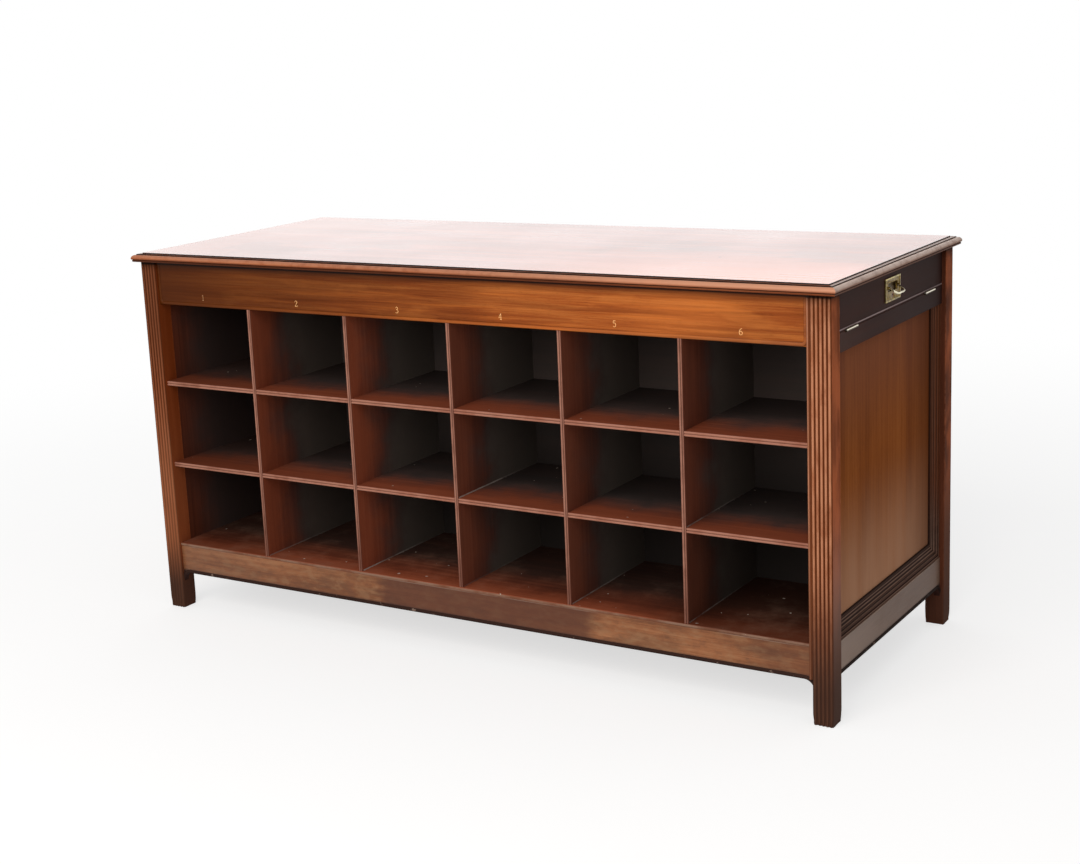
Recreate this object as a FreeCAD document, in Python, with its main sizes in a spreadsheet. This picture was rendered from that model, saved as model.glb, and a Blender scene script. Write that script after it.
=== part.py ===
import FreeCAD, Part
import math
import os
import Sketcher

# A double-sided pigeonhole sorter in mahogany: a framed case on four reeded posts, eighteen pigeonholes on each
# long side, and a long compartment under the top behind a drop flap at the right end.
# X runs along the length, Y from front to back and Z up. The origin is on the floor under the middle.

# Driving dimensions, in millimetres, degrees or pieces.
SIZES = [
    # the whole case
    ("body_length", 1800.0, "over the posts, end to end"),
    ("body_depth", 720.0, "over the posts, front to back"),
    ("height", 910.0, "floor to the top's upper face"),
    ("top_thick", 21.0, "top board"),
    ("overhang", 16.0, "top's nosing beyond the posts"),
    ("post", 44.5, "side of a square post"),
    ("post_ease", 1.2, "eased edges of a post"),
    ("face_recess", 10.0, "rails and friezes behind the posts' faces"),
    # edge moulding of the top, and the spare length of every cutting tool
    ("beyond", 1.0, "cutting tools run past what they cut"),
    ("edging", 21.5, "width of the moulded edge strip"),
    ("edging_drop", 0.8, "strip's flat below the board"),
    ("edging_flat", 11.5, "flat beside the board"),
    ("nosing_step", 1.0, "step from the flat to the nosing"),
    ("nosing_reach_down", 13.0, "fullest point of the nosing under the top's face"),
    ("nosing_swell", 2.85, "rise of the nosing's upper curve"),
    ("nosing_return", 3.0, "how far the nosing turns in underneath"),
    ("nosing_return_swell", 0.8, "rise of the curve that turns in"),
    ("under_bead", 5.4, "height of the bead under the nosing"),
    ("under_bead_back", 4.0, "that bead's foot behind the nosing"),
    ("under_bead_swell", 2.0, "rise of that bead"),
    # reeds of the posts
    ("reeds", 5, "reeds on a post"),
    ("reed_groove", 3.4, "groove between two reeds"),
    ("reed_rise", 2.0, "depth of the grooves"),
    ("cover_strip", 7.3, "width of the strip beside the right posts"),
    # long rails, friezes and their joints
    ("rail_thick", 22.0, "bottom rail, front or back"),
    ("rail_bottom", 92.6, "underside of the bottom rails"),
    ("frieze_thick", 20.0, "frieze board"),
    ("frieze_high", 106.0, "frieze, top board down to the pigeonholes"),
    ("tenon_long", 16.0, "tenons into the posts"),
    ("tenon_thick", 10.0, "tenons into the posts"),
    ("tenon_shoulder", 8.0, "rail above and below its tenon"),
    ("mortise_spare", 0.4, "mortise deeper than its tenon"),
    ("bracket", 23.0, "radius of the corner brackets"),
    ("bracket_thick", 14.0, "corner bracket"),
    ("bead_wide", 8.8, "bead on a rail or a frieze"),
    ("bead_rise", 2.6, "bead's height over the face"),
    ("frieze_corner", 13.0, "outer corner radius of the frieze's bead"),
    # pigeonholes
    ("columns", 6, "pigeonholes in a row"),
    ("floor_top", 171.0, "upper face of the floor"),
    ("floor_thick", 7.6, "floor board and its lippings"),
    ("lipping_wide", 75.0, "front and back lipping of the floor"),
    ("lipping_nose", 2.4, "rise of the lipping's rounded nose over the rail's face"),
    ("hole_low", 199.4, "height of the lowest pigeonholes"),
    ("hole_middle", 196.6, "height of the middle pigeonholes"),
    ("shelf_thick", 11.0, "shelf"),
    ("shelf_back_set", 0.6, "shelf's edge behind the divider's edge"),
    ("divider_thick", 10.7, "divider"),
    ("edge_bead", 1.5, "rise of the two beads on a front edge"),
    ("edge_groove", 1.3, "groove between those two beads"),
    ("housing", 2.4, "depth of the shelf housings"),
    ("housing_stop", 42.0, "front of a housing behind the front edge"),
    ("housing_spare", 0.2, "housing deeper than the shelf's tongue"),
    ("back_thick", 11.0, "centre board"),
    ("lining_thick", 7.5, "side lining"),
    ("deck_thick", 11.0, "board over the pigeonholes"),
    # ends
    ("end_rail_thick", 26.0, "rails at the ends"),
    ("end_rail_high", 40.0, "upper end rails"),
    ("panel_recess", 14.0, "panel behind the end rails' faces"),
    ("panel_thick", 8.0, "end panel"),
    ("panel_groove", 6.0, "depth of the panel grooves"),
    ("panel_spare", 0.5, "panel short of the groove's bottom"),
    ("moulding_wide", 46.0, "moulding round the panel"),
    ("moulding_high", 12.0, "moulding over the panel"),
    # flap with its hinges
    ("hinge_down", 86.5, "hinge axis under the top board"),
    ("flap_gap", 1.0, "gap round the flap"),
    ("flap_thick", 16.0, "flap"),
    ("flap_bevel", 1.6, "slope of the flap's top edge"),
    ("flap_bead_up", 5.4, "quirk over the bead on the flap's lower edge"),
    ("quirk", 1.2, "width and depth of that quirk"),
    ("stop_side", 8.0, "stops behind the flap"),
    ("stop_gap", 0.3, "flap clear of its stops"),
    ("hinge_place", 231.0, "hinge's middle from the flap's middle"),
    ("hinge_long", 60.0, "hinge"),
    ("hinge_leaf", 1.6, "thickness of a leaf"),
    ("hinge_leaf_wide", 13.0, "leaf from the axis inwards"),
    ("hinge_axis_out", 0.5, "hinge axis before the flap's face"),
    ("barrel_radius", 3.5, "knuckles"),
    ("barrel_gap", 0.4, "wood and the other leaf clear of a knuckle"),
    ("knuckles", 5, "knuckles of a hinge"),
    ("knuckle_gap", 0.3, "between two knuckles"),
    ("pin_radius", 1.5, "hinge pin"),
    ("running_gap", 0.06, "a hole round its pin"),
    # brass pull plate and bail
    ("plate_long", 86.0, "pull plate along the flap"),
    ("plate_high", 50.0, "pull plate upwards"),
    ("plate_up", 43.0, "plate's middle over the hinge axis"),
    ("plate_thick", 1.6, "pull plate"),
    ("plate_rim", 3.6, "width of the plate's raised rim"),
    ("plate_rim_rise", 1.1, "rim over the plate"),
    ("cup_long", 58.0, "finger cup along the flap"),
    ("cup_low", -5.0, "cup's lower edge from the plate's middle"),
    ("cup_high", 15.0, "cup's upper edge from the plate's middle"),
    ("cup_deep", 5.0, "cup behind the flap's face"),
    ("cup_wall", 0.9, "cup's sheet"),
    ("bail_wide", 48.0, "between the middles of the bail's arms"),
    ("bail_reach", 20.0, "bail, axis to the grip's middle"),
    ("bail_corner", 12.0, "bail's corner radius"),
    ("bail_bar", 3.4, "side of the bail's square bar"),
    ("bail_up", 4.5, "bail's axis over the plate's middle"),
    ("bail_out", 4.2, "bail's axis before the flap's face"),
    ("bail_tilt", 57.0, "degrees that the bail stands out from hanging"),
    ("ear_thick", 3.0, "ears that hold the bail"),
    ("ear_half", 3.0, "half height of an ear"),
    ("ear_gap", 0.35, "bail's arms clear of the ears"),
    ("keyhole_radius", 2.8, "round of the keyhole"),
    ("keyhole_down", 12.5, "keyhole's round under the plate's middle"),
    ("keyhole_slot", 2.4, "width of the keyhole's slot"),
    ("keyhole_slot_long", 7.5, "slot's end under the round's middle"),
    # lock
    ("lock_long", 62.0, "lock case along the flap"),
    ("lock_low", 16.0, "lock case's lower edge over the flap's"),
    ("lock_thick", 10.0, "lock case"),
    ("lock_top_gap", 2.4, "lock case's top under the flap's top edge"),
    ("bolt_long", 22.0, "bolt along the flap"),
    ("bolt_thick", 5.0, "bolt"),
    ("bolt_high", 30.0, "bolt upwards"),
    ("bolt_throw", 8.0, "how far the key lifts the bolt"),
    ("bolt_gap", 0.2, "bolt in its case"),
    ("strike_gap", 2.2, "mortise round the bolt"),
    ("strike_spare", 3.0, "mortise over the thrown bolt"),
    ("strike_margin", 6.0, "strike plate beyond its slot"),
    ("strike_thick", 1.2, "strike plate"),
    # inside
    ("bearers", 3, "bearers under the floor"),
    ("bearer_wide", 25.0, "bearer"),
    ("bearer_high", 45.0, "bearer"),
    ("blocks", 4, "glue blocks along a frieze"),
    ("block_side", 18.0, "glue block"),
    ("block_long", 70.0, "glue block"),
    # screws
    ("screw", 1.9, "radius of a screw"),
    ("screw_deep", 8.0, "screw in the wood"),
    ("screw_gap", 0.08, "hole round a screw"),
    ("screw_end_gap", 1.0, "hole beyond a screw's point"),
    ("leaf_screws", 2, "screws in a leaf"),
    ("leaf_screw_pitch", 36.0, "between the screws of a leaf"),
    ("leaf_screw_in", 8.0, "leaf's screws from the hinge axis"),
    ("plate_screw_in", 7.5, "plate's screws from its edges"),
]


class Size:
    """A length together with the sheet formula that gives it."""

    def __init__(self, value, text):
        self.value = value
        self.text = text

    def __add__(self, other):
        return Size(self.value + value_of(other), f"({self.text} + {text_of(other)})")

    def __sub__(self, other):
        return Size(self.value - value_of(other), f"({self.text} - {text_of(other)})")

    def __mul__(self, other):
        return Size(self.value * value_of(other), f"({self.text} * {text_of(other)})")

    def __truediv__(self, other):
        return Size(self.value / value_of(other), f"({self.text} / {text_of(other)})")

    def __neg__(self):
        return Size(-self.value, f"(-1 * {self.text})")

    def __radd__(self, other):
        return plain(other) + self

    def __rsub__(self, other):
        return plain(other) - self

    def __rmul__(self, other):
        return plain(other) * self

    def root(self):
        return Size(math.sqrt(self.value), f"sqrt({self.text})")


def value_of(size):
    return size.value if isinstance(size, Size) else float(size)


def text_of(size):
    return size.text if isinstance(size, Size) else f"{float(size)}"


def plain(number):
    return Size(float(number), f"{float(number)}")


class Sheet:
    """The spreadsheet: each driving dimension is read as an attribute."""

    def __init__(self, doc):
        cells = doc.addObject("Spreadsheet::Sheet", "Sizes")
        self.values = {}
        for row, (alias, value, words) in enumerate(SIZES, start=1):
            cells.set(f"A{row}", str(value))
            cells.setAlias(f"A{row}", alias)
            cells.set(f"B{row}", words)
            self.values[alias] = value

    def __getattr__(self, alias):
        return Size(float(self.values[alias]), f"Sizes.{alias}")


DOC = FreeCAD.newDocument("PigeonholeSorter")
S = Sheet(DOC)
ZERO = plain(0)
NODES = []

# Places that several pieces share
HALF_LENGTH = S.body_length / 2
HALF_DEPTH = S.body_depth / 2
UNDER_TOP = S.height - S.top_thick
BAY_LENGTH = HALF_LENGTH - S.post
BAY_DEPTH = HALF_DEPTH - S.post
FLOOR_UNDER = S.floor_top - S.floor_thick
CELL_TOP = UNDER_TOP - S.frieze_high
SHELF_LOW = S.floor_top + S.hole_low + S.shelf_thick
SHELF_HIGH = SHELF_LOW + S.hole_middle + S.shelf_thick
CELL_LEFT = -BAY_LENGTH
CELL_RIGHT = BAY_LENGTH - S.cover_strip
CELL_WIDE = (CELL_RIGHT - CELL_LEFT - (S.columns - 1) * S.divider_thick) / S.columns
CELL_DEEP = HALF_DEPTH - S.face_recess - S.back_thick / 2
HINGE_LINE = UNDER_TOP - S.hinge_down
END_RAIL_TOP = HINGE_LINE - S.flap_gap / 2
END_RAIL_BOTTOM = END_RAIL_TOP - S.end_rail_high
FLAP_LOW = HINGE_LINE + S.flap_gap / 2
PLATE_MIDDLE = HINGE_LINE + S.plate_up
FLAP_HIGH = UNDER_TOP - FLAP_LOW - S.flap_gap
END_FACE = HALF_LENGTH - S.face_recess
COLUMN_COUNT = int(S.columns.value)
BEAD_OUTER = S.bracket + S.bead_wide
STRIP_INSET = S.bracket - S.cover_strip
STRIP_LOW = S.rail_bottom - S.bracket + (BEAD_OUTER * BEAD_OUTER - STRIP_INSET * STRIP_INSET).root()


# ---------------------------------------------------------------- making features

def bind(thing, path, size):
    thing.setExpression(path, text_of(size))


def piece(label, place=(ZERO, ZERO, ZERO), turn=0.0, tilt=0.0, several=False):
    """A body at a place, turned about Z and then tilted about its own X axis, in degrees."""
    body = DOC.addObject("PartDesign::Body", label)
    body.Label = label
    body.AllowCompound = several
    upright = FreeCAD.Rotation(FreeCAD.Vector(0, 0, 1), turn)
    leaning = FreeCAD.Rotation(FreeCAD.Vector(1, 0, 0), value_of(tilt))
    body.Placement = FreeCAD.Placement(FreeCAD.Vector(*[value_of(size) for size in place]), upright * leaning)
    for axis, size in zip("xyz", place):
        bind(body, f"Placement.Base.{axis}", size)
    return body


def node(thing, label=None):
    """Counts a finished piece, or a bundle of pieces, as a sub-part with a file of its own."""
    if label:
        thing.Label = label
    NODES.append(thing)
    return thing


def bundle(label, members):
    """Several separate pieces of one kind under one name."""
    group = DOC.addObject("Part::Compound", label)
    group.Links = members
    return node(group, label)


def plane_of(body, role):
    return next(part for part in body.Origin.OriginFeatures if part.Role == role)


def sketch_on(body, name, role, lift=ZERO):
    sketch = body.newObject("Sketcher::SketchObject", name)
    sketch.AttachmentSupport = (plane_of(body, role), [""])
    sketch.MapMode = "FlatFace"
    bind(sketch, "AttachmentOffset.Base.z", lift)
    return sketch


def pin_point(sketch, geometry, end, spot):
    """Ties one end of a line or an arc to a place given by two sizes."""
    for kind, size in zip(("DistanceX", "DistanceY"), spot):
        index = sketch.addConstraint(Sketcher.Constraint(kind, -1, 1, geometry, end, value_of(size)))
        bind(sketch, f"Constraints[{index}]", size)


def draw(sketch, corners, closed=True):
    """Draws an outline, anticlockwise. A third size at a corner is the rise of the arc to the next corner, outwards
    when it is positive and inwards when it is negative."""
    legs = len(corners) if closed else len(corners) - 1
    for index in range(legs):
        here = corners[index]
        there = corners[(index + 1) % len(corners)]
        start = FreeCAD.Vector(value_of(here[0]), value_of(here[1]), 0)
        stop = FreeCAD.Vector(value_of(there[0]), value_of(there[1]), 0)
        if len(here) == 2:
            line = sketch.addGeometry(Part.LineSegment(start, stop))
            pin_point(sketch, line, 1, here)
            pin_point(sketch, line, 2, there)
            continue
        rise = here[2]
        along = (stop - start).normalize()
        aside = FreeCAD.Vector(along.y, -along.x, 0)
        crown = (start + stop) / 2 + aside * rise.value
        outward = rise.value > 0
        bow = Part.Arc(start, crown, stop) if outward else Part.Arc(stop, crown, start)
        arc = sketch.addGeometry(bow)
        pin_point(sketch, arc, 1 if outward else 2, here)
        pin_point(sketch, arc, 2 if outward else 1, there)
        height = rise if outward else -rise
        across = there[0] - here[0]
        upward = there[1] - here[1]
        half_chord_squared = (across * across + upward * upward) / 4
        radius = (half_chord_squared + height * height) / (2 * height)
        index = sketch.addConstraint(Sketcher.Constraint("Radius", arc, radius.value))
        bind(sketch, f"Constraints[{index}]", radius)
    return sketch


def pad(body, name, sketch, length, both_ways=False, backwards=False):
    feature = body.newObject("PartDesign::Pad", name)
    feature.Profile = sketch
    feature.SideType = "Symmetric" if both_ways else "One side"
    feature.Reversed = backwards
    bind(feature, "Length", length)
    return feature


def cut_through(body, name, sketch, length, backwards=False):
    feature = body.newObject("PartDesign::Pocket", name)
    feature.Profile = sketch
    feature.Reversed = backwards
    bind(feature, "Length", length)
    return feature


def box(body, name, x, y, z, cut=False):
    """A block between two sizes on each axis, added to the body or cut from it."""
    kind = "PartDesign::SubtractiveBox" if cut else "PartDesign::AdditiveBox"
    block = body.newObject(kind, name)
    for ends, side, axis in zip((x, y, z), ("Length", "Width", "Height"), "xyz"):
        low, high = sorted(ends, key=value_of)
        bind(block, side, high - low)
        bind(block, f"Placement.Base.{axis}", low)
    return block


QUARTER = {
    "x": FreeCAD.Rotation(FreeCAD.Vector(0, 1, 0), 90),
    "y": FreeCAD.Rotation(FreeCAD.Vector(1, 0, 0), -90),
    "z": FreeCAD.Rotation(),
}


def rod(body, name, axis, start, length, radius, cut=False):
    """A cylinder from a place along X, Y or Z, added to the body or cut from it."""
    kind = "PartDesign::SubtractiveCylinder" if cut else "PartDesign::AdditiveCylinder"
    cylinder = body.newObject(kind, name)
    cylinder.Placement = FreeCAD.Placement(FreeCAD.Vector(), QUARTER[axis])
    bind(cylinder, "Radius", radius)
    bind(cylinder, "Height", length)
    for letter, size in zip("xyz", start):
        bind(cylinder, f"Placement.Base.{letter}", size)
    return cylinder


def repeat(body, name, direction, pitch, count):
    """Repeats the whole of a body along one of its own axes."""
    DOC.recompute()
    pattern = body.newObject("PartDesign::LinearPattern", name)
    pattern.Originals = []
    pattern.TransformMode = "Whole shape"
    pattern.Direction = (plane_of(body, direction), [""])
    pattern.Mode = "Spacing"
    bind(pattern, "Offset", pitch)
    bind(pattern, "Occurrences", count)
    body.Tip = pattern
    return pattern


# ---------------------------------------------------------------- top

def top_board():
    half_x = HALF_LENGTH + S.overhang - S.edging
    half_y = HALF_DEPTH + S.overhang - S.edging
    body = piece("top_board", (ZERO, ZERO, UNDER_TOP))
    box(body, "Board", (-half_x, half_x), (-half_y, half_y), (ZERO, S.top_thick))
    x, y = bolt_plan(S.strike_gap)
    box(body, "BoltMortise", x, y, (ZERO, STRIKE_DEEP), cut=True)
    x, y = bolt_plan(S.strike_gap + S.strike_margin)
    box(body, "StrikeSeat", x, y, (ZERO, S.strike_thick), cut=True)
    node(body)


def edging(label, turn, x, y, full_length):
    """One side of the moulded edge: its section runs outwards along Y and is mitred at both ends."""
    body = piece(label, (x, y, UNDER_TOP), turn)
    nose_low = S.top_thick - S.nosing_reach_down
    nose_top = S.top_thick - S.edging_drop - S.nosing_step
    bead_foot = S.edging - S.under_bead_back
    section = sketch_on(body, "Section", "YZ_Plane")
    draw(section, [
        (ZERO, ZERO),
        (bead_foot, ZERO, S.under_bead_swell),
        (bead_foot, S.under_bead),
        (S.edging - S.nosing_return, S.under_bead, S.nosing_return_swell),
        (S.edging, nose_low, S.nosing_swell),
        (S.edging_flat, nose_top),
        (S.edging_flat, nose_top + S.nosing_step),
        (ZERO, nose_top + S.nosing_step),
    ])
    pad(body, "Strip", section, full_length, both_ways=True)
    beyond = S.beyond
    for side, name in ((1, "MitreRight"), (-1, "MitreLeft")):
        inner = side * (full_length / 2 - S.edging - beyond)
        outer = side * (full_length / 2 + beyond)
        corners = [(inner, -beyond), (outer, -beyond), (outer, S.edging + beyond)]
        mitre = sketch_on(body, name + "Outline", "XY_Plane", -beyond)
        draw(mitre, corners if side > 0 else corners[::-1])
        cut_through(body, name, mitre, S.top_thick + 2 * beyond, backwards=True)
    node(body)


def top():
    top_board()
    long_side = 2 * (HALF_LENGTH + S.overhang)
    short_side = 2 * (HALF_DEPTH + S.overhang)
    out_x = HALF_LENGTH + S.overhang - S.edging
    out_y = HALF_DEPTH + S.overhang - S.edging
    edging("top_moulding_front", 180, ZERO, -out_y, long_side)
    edging("top_moulding_back", 0, ZERO, out_y, long_side)
    edging("top_moulding_left", 90, -out_x, ZERO, short_side)
    edging("top_moulding_right", -90, out_x, ZERO, short_side)


# ---------------------------------------------------------------- posts

def reeded_front(left, count, pitch, level):
    """Corners of a reeded face from left to right: reeds rise outwards, with half a groove at either end."""
    corners = []
    for number in range(count):
        start = left + number * pitch + S.reed_groove / 2
        corners.append((start, level + S.reed_rise, S.reed_rise))
        corners.append((start + pitch - S.reed_groove, level + S.reed_rise))
    return corners


def eased_corner(x, y, turn_x, turn_y):
    """The two ends of a rounded corner, anticlockwise; the signs say on which side of the corner the wood lies."""
    flat = 1 - math.sqrt(0.5)
    rise = S.post_ease * flat
    along_x = (x + turn_x * S.post_ease, y)
    along_y = (x, y + turn_y * S.post_ease)
    first, last = (along_y, along_x) if turn_x * turn_y > 0 else (along_x, along_y)
    return [(first[0], first[1], rise), last]


def post(label, side_x, side_y):
    """A post stands with its reeded face towards its own -Y; inward says on which side the long rails come in."""
    half = S.post / 2
    inward = side_x * side_y
    body = piece(label, (side_x * (HALF_LENGTH - half), side_y * (HALF_DEPTH - half), ZERO), 0 if side_y < 0 else 180)
    section = sketch_on(body, "Section", "XY_Plane")
    front = reeded_front(-half, int(S.reeds.value), S.post / S.reeds, -half)
    draw(section, [(-half, -half + S.reed_rise)] + front + [(half, -half + S.reed_rise)]
         + eased_corner(half, half, -1, -1) + eased_corner(-half, half, 1, -1))
    pad(body, "Shaft", section, UNDER_TOP)
    # mortises for the long rail and the frieze
    deep = S.tenon_long + S.mortise_spare
    face = inward * half
    for name, thick, low, high in (
        ("RailMortise", S.rail_thick, S.rail_bottom, FLOOR_UNDER),
        ("FriezeMortise", S.frieze_thick, CELL_TOP, UNDER_TOP),
    ):
        y = S.face_recess - half + (thick - S.tenon_thick) / 2
        z = (low + S.tenon_shoulder, high - S.tenon_shoulder)
        box(body, name, (face, face - inward * deep), (y, y + S.tenon_thick), z, cut=True)
    # mortises for the end rails, and the groove of the end panel between them
    x = -inward * (half - S.face_recess - (S.end_rail_thick - S.tenon_thick) / 2)
    for name, low, high in (
        ("LowerEndMortise", S.rail_bottom, FLOOR_UNDER),
        ("UpperEndMortise", END_RAIL_BOTTOM, END_RAIL_TOP),
    ):
        z = (low + S.tenon_shoulder, high - S.tenon_shoulder)
        box(body, name, (x, x + inward * S.tenon_thick), (half - deep, half), z, cut=True)
    if side_x < 0:
        z = (FLAP_LOW + S.tenon_shoulder, UNDER_TOP - S.tenon_shoulder)
        box(body, "ApronMortise", (x, x + inward * S.tenon_thick), (half - deep, half), z, cut=True)
    groove = -inward * (half - S.face_recess - S.panel_recess)
    z = (FLOOR_UNDER - S.panel_groove, END_RAIL_BOTTOM + S.panel_groove)
    box(body, "PanelGroove", (groove, groove + inward * S.panel_thick), (half - S.panel_groove, half), z, cut=True)
    node(body)


def posts():
    for side_y, depth in ((-1, "front"), (1, "back")):
        for side_x, side in ((-1, "left"), (1, "right")):
            post(f"post_{depth}_{side}", side_x, side_y)


def cover_strips():
    """Narrow strips with one reed each, beside the right posts, over the ends of the rail and the frieze. Each ends
    below on the bead of the bottom rail."""
    strips = []
    for side_y, turn in ((-1, 0), (1, 180)):
        left = CELL_RIGHT if side_y < 0 else -BAY_LENGTH
        body = piece(f"cover_strip_{turn}", (ZERO, side_y * HALF_DEPTH, STRIP_LOW), turn)
        section = sketch_on(body, "Section", "XY_Plane")
        ease = S.reed_groove / 4
        draw(section, [
            (left, S.reed_rise),
            (left + ease, S.reed_rise, S.reed_rise),
            (left + S.cover_strip - ease, S.reed_rise),
            (left + S.cover_strip, S.reed_rise),
            (left + S.cover_strip, S.face_recess),
            (left, S.face_recess),
        ])
        pad(body, "Strip", section, UNDER_TOP - STRIP_LOW)
        strips.append(body)
    bundle("cover_strips", strips)


# ---------------------------------------------------------------- rails, friezes, brackets and beads

def rail(label, place, turn, half_long, thick, low, high):
    """A board between two posts with a tenon at each end; its face looks along its own -Y."""
    body = piece(label, place, turn)
    box(body, "Board", (-half_long, half_long), (ZERO, thick), (low, high))
    inset = (thick - S.tenon_thick) / 2
    reach = half_long + S.tenon_long
    z = (low + S.tenon_shoulder, high - S.tenon_shoulder)
    box(body, "Tenons", (-reach, reach), (inset, inset + S.tenon_thick), z)
    return body


def long_place(side_y):
    return (ZERO, side_y * (HALF_DEPTH - S.face_recess), ZERO)


def end_place(side_x):
    return (side_x * END_FACE, ZERO, ZERO)


LONG_SIDES = ((-1, 0, "front"), (1, 180, "back"))
END_SIDES = ((-1, -90, "left"), (1, 90, "right"))


def panel_slot(body, low, high):
    """The groove of an end rail for the panel."""
    y = (S.panel_recess, S.panel_recess + S.panel_thick)
    box(body, "PanelGroove", (-BAY_DEPTH, BAY_DEPTH), y, (low, high), cut=True)


def rails():
    for side_y, turn, word in LONG_SIDES:
        place = long_place(side_y)
        node(rail(f"bottom_rail_{word}", place, turn, BAY_LENGTH, S.rail_thick, S.rail_bottom, FLOOR_UNDER))
        node(rail(f"frieze_{word}", place, turn, BAY_LENGTH, S.frieze_thick, CELL_TOP, UNDER_TOP))
    for side_x, turn, word in END_SIDES:
        place = end_place(side_x)
        lower = rail(f"bottom_rail_{word}", place, turn, BAY_DEPTH, S.end_rail_thick, S.rail_bottom, FLOOR_UNDER)
        panel_slot(lower, FLOOR_UNDER - S.panel_groove, FLOOR_UNDER)
        node(lower)
        upper = rail(f"upper_rail_{word}", place, turn, BAY_DEPTH, S.end_rail_thick, END_RAIL_BOTTOM, END_RAIL_TOP)
        panel_slot(upper, END_RAIL_BOTTOM, END_RAIL_BOTTOM + S.panel_groove)
        if side_x > 0:
            hinge_seats(upper, END_RAIL_TOP, -1)
        node(upper)
    node(rail("apron_left", end_place(-1), -90, BAY_DEPTH, S.end_rail_thick, FLAP_LOW, UNDER_TOP))


def brackets():
    """Quarter-round brackets under both ends of each bottom rail."""
    members = []
    for half_long, sides, place in ((BAY_LENGTH, LONG_SIDES, long_place), (BAY_DEPTH, END_SIDES, end_place)):
        for side, turn, word in sides:
            for hand in (-1, 1):
                body = piece(f"bracket_{word}_{'right' if hand > 0 else 'left'}", place(side), turn)
                post_face = hand * half_long
                tip = hand * (half_long - S.bracket)
                hollow = -S.bracket * (1 - math.sqrt(0.5))
                foot = S.rail_bottom - S.bracket
                corners = [(post_face, foot), (post_face, S.rail_bottom), (tip, S.rail_bottom, hollow)]
                if hand < 0:
                    corners = [(post_face, S.rail_bottom), (post_face, foot, hollow), (tip, S.rail_bottom)]
                outline = sketch_on(body, "Outline", "XZ_Plane")
                draw(outline, corners)
                pad(body, "Bracket", outline, S.bracket_thick, backwards=True)
                members.append(body)
    bundle("corner_brackets", members)


def swept_bead(body, path):
    """Sweeps a half-round bead along a path of lines and arcs that lies in the face; its first run is upright."""
    spine = sketch_on(body, "Path", "XZ_Plane")
    draw(spine, path, closed=False)
    start = path[0]
    half = S.bead_wide / 2
    section = sketch_on(body, "Section", "XY_Plane", start[1])
    draw(section, [(start[0] - half, ZERO, S.bead_rise), (start[0] + half, ZERO)])
    bead = body.newObject("PartDesign::AdditivePipe", "Bead")
    bead.Profile = section
    bead.Spine = spine
    bead.Transition = "Transformed"
    return bead


def rail_bead(label, place, turn, half_long):
    """The bead along the lower edge of a bottom rail, down round the brackets to the posts."""
    body = piece(label, place, turn)
    low = S.rail_bottom
    foot = low - S.bracket
    middle = S.bracket + S.bead_wide / 2
    near = half_long - S.bracket
    bow = middle * (1 - math.sqrt(0.5))
    swept_bead(body, [
        (-near - middle, foot, -bow),
        (-near, foot + middle),
        (near, foot + middle, -bow),
        (near + middle, foot),
    ])
    high = (foot - S.beyond, low + S.bead_wide)
    deep = (-S.bead_rise - S.beyond, S.beyond)
    for hand, name in ((-1, "CutLeft"), (1, "CutRight")):
        box(body, name, (hand * half_long, hand * (near + BEAD_OUTER + S.beyond)), deep, high, cut=True)
    return body


def frieze_bead(label, place, turn, left, right):
    """The bead round the lower edge and both ends of a frieze."""
    body = piece(label, place, turn)
    half = S.bead_wide / 2
    turn_radius = S.frieze_corner - half
    bow = turn_radius * (1 - math.sqrt(0.5))
    low = CELL_TOP + half
    swept_bead(body, [
        (left + half, UNDER_TOP),
        (left + half, low + turn_radius, bow),
        (left + S.frieze_corner, low),
        (right - S.frieze_corner, low, bow),
        (right - half, low + turn_radius),
        (right - half, UNDER_TOP),
    ])
    return body


def beads():
    rail_beads = []
    frieze_beads = []
    for side_y, turn, word in LONG_SIDES:
        place = long_place(side_y)
        rail_beads.append(rail_bead(f"rail_bead_{word}", place, turn, BAY_LENGTH))
        ends = (CELL_LEFT, CELL_RIGHT) if side_y < 0 else (-CELL_RIGHT, -CELL_LEFT)
        frieze_beads.append(frieze_bead(f"frieze_bead_{word}", place, turn, *ends))
    for side_x, turn, word in END_SIDES:
        rail_beads.append(rail_bead(f"rail_bead_{word}", end_place(side_x), turn, BAY_DEPTH))
    bundle("rail_beads", rail_beads)
    bundle("frieze_beads", frieze_beads)


# ---------------------------------------------------------------- pigeonholes

def double_beaded(thick, depth):
    """Section of a board whose front edge is worked into two small beads; the edge lies at 0, the back at depth."""
    half = thick / 2
    gap = S.edge_groove / 2
    return [
        (-half, S.edge_bead, S.edge_bead),
        (-gap, S.edge_bead),
        (gap, S.edge_bead, S.edge_bead),
        (half, S.edge_bead),
        (half, depth),
        (-half, depth),
    ]


def divider(label, x, side_y, turn):
    body = piece(label, (x, side_y * (HALF_DEPTH - S.face_recess), S.floor_top), turn)
    section = sketch_on(body, "Section", "XY_Plane")
    draw(section, double_beaded(S.divider_thick, CELL_DEEP))
    pad(body, "Board", section, CELL_TOP - S.floor_top)
    half = S.divider_thick / 2
    for level, word in ((SHELF_LOW, "Low"), (SHELF_HIGH, "High")):
        z = (level - S.shelf_thick - S.floor_top, level - S.floor_top)
        y = (S.housing_stop, CELL_DEEP)
        for hand in (-1, 1):
            x_ends = (hand * half, hand * (half - S.housing))
            box(body, f"Housing{word}{'Left' if hand < 0 else 'Right'}", x_ends, y, z, cut=True)
    node(body)


def dividers():
    pitch = CELL_WIDE + S.divider_thick
    first = CELL_LEFT + CELL_WIDE + S.divider_thick / 2
    for side_y, turn, word in LONG_SIDES:
        for number in range(COLUMN_COUNT - 1):
            divider(f"divider_{word}_{number + 1}", first + number * pitch, side_y, turn)


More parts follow.
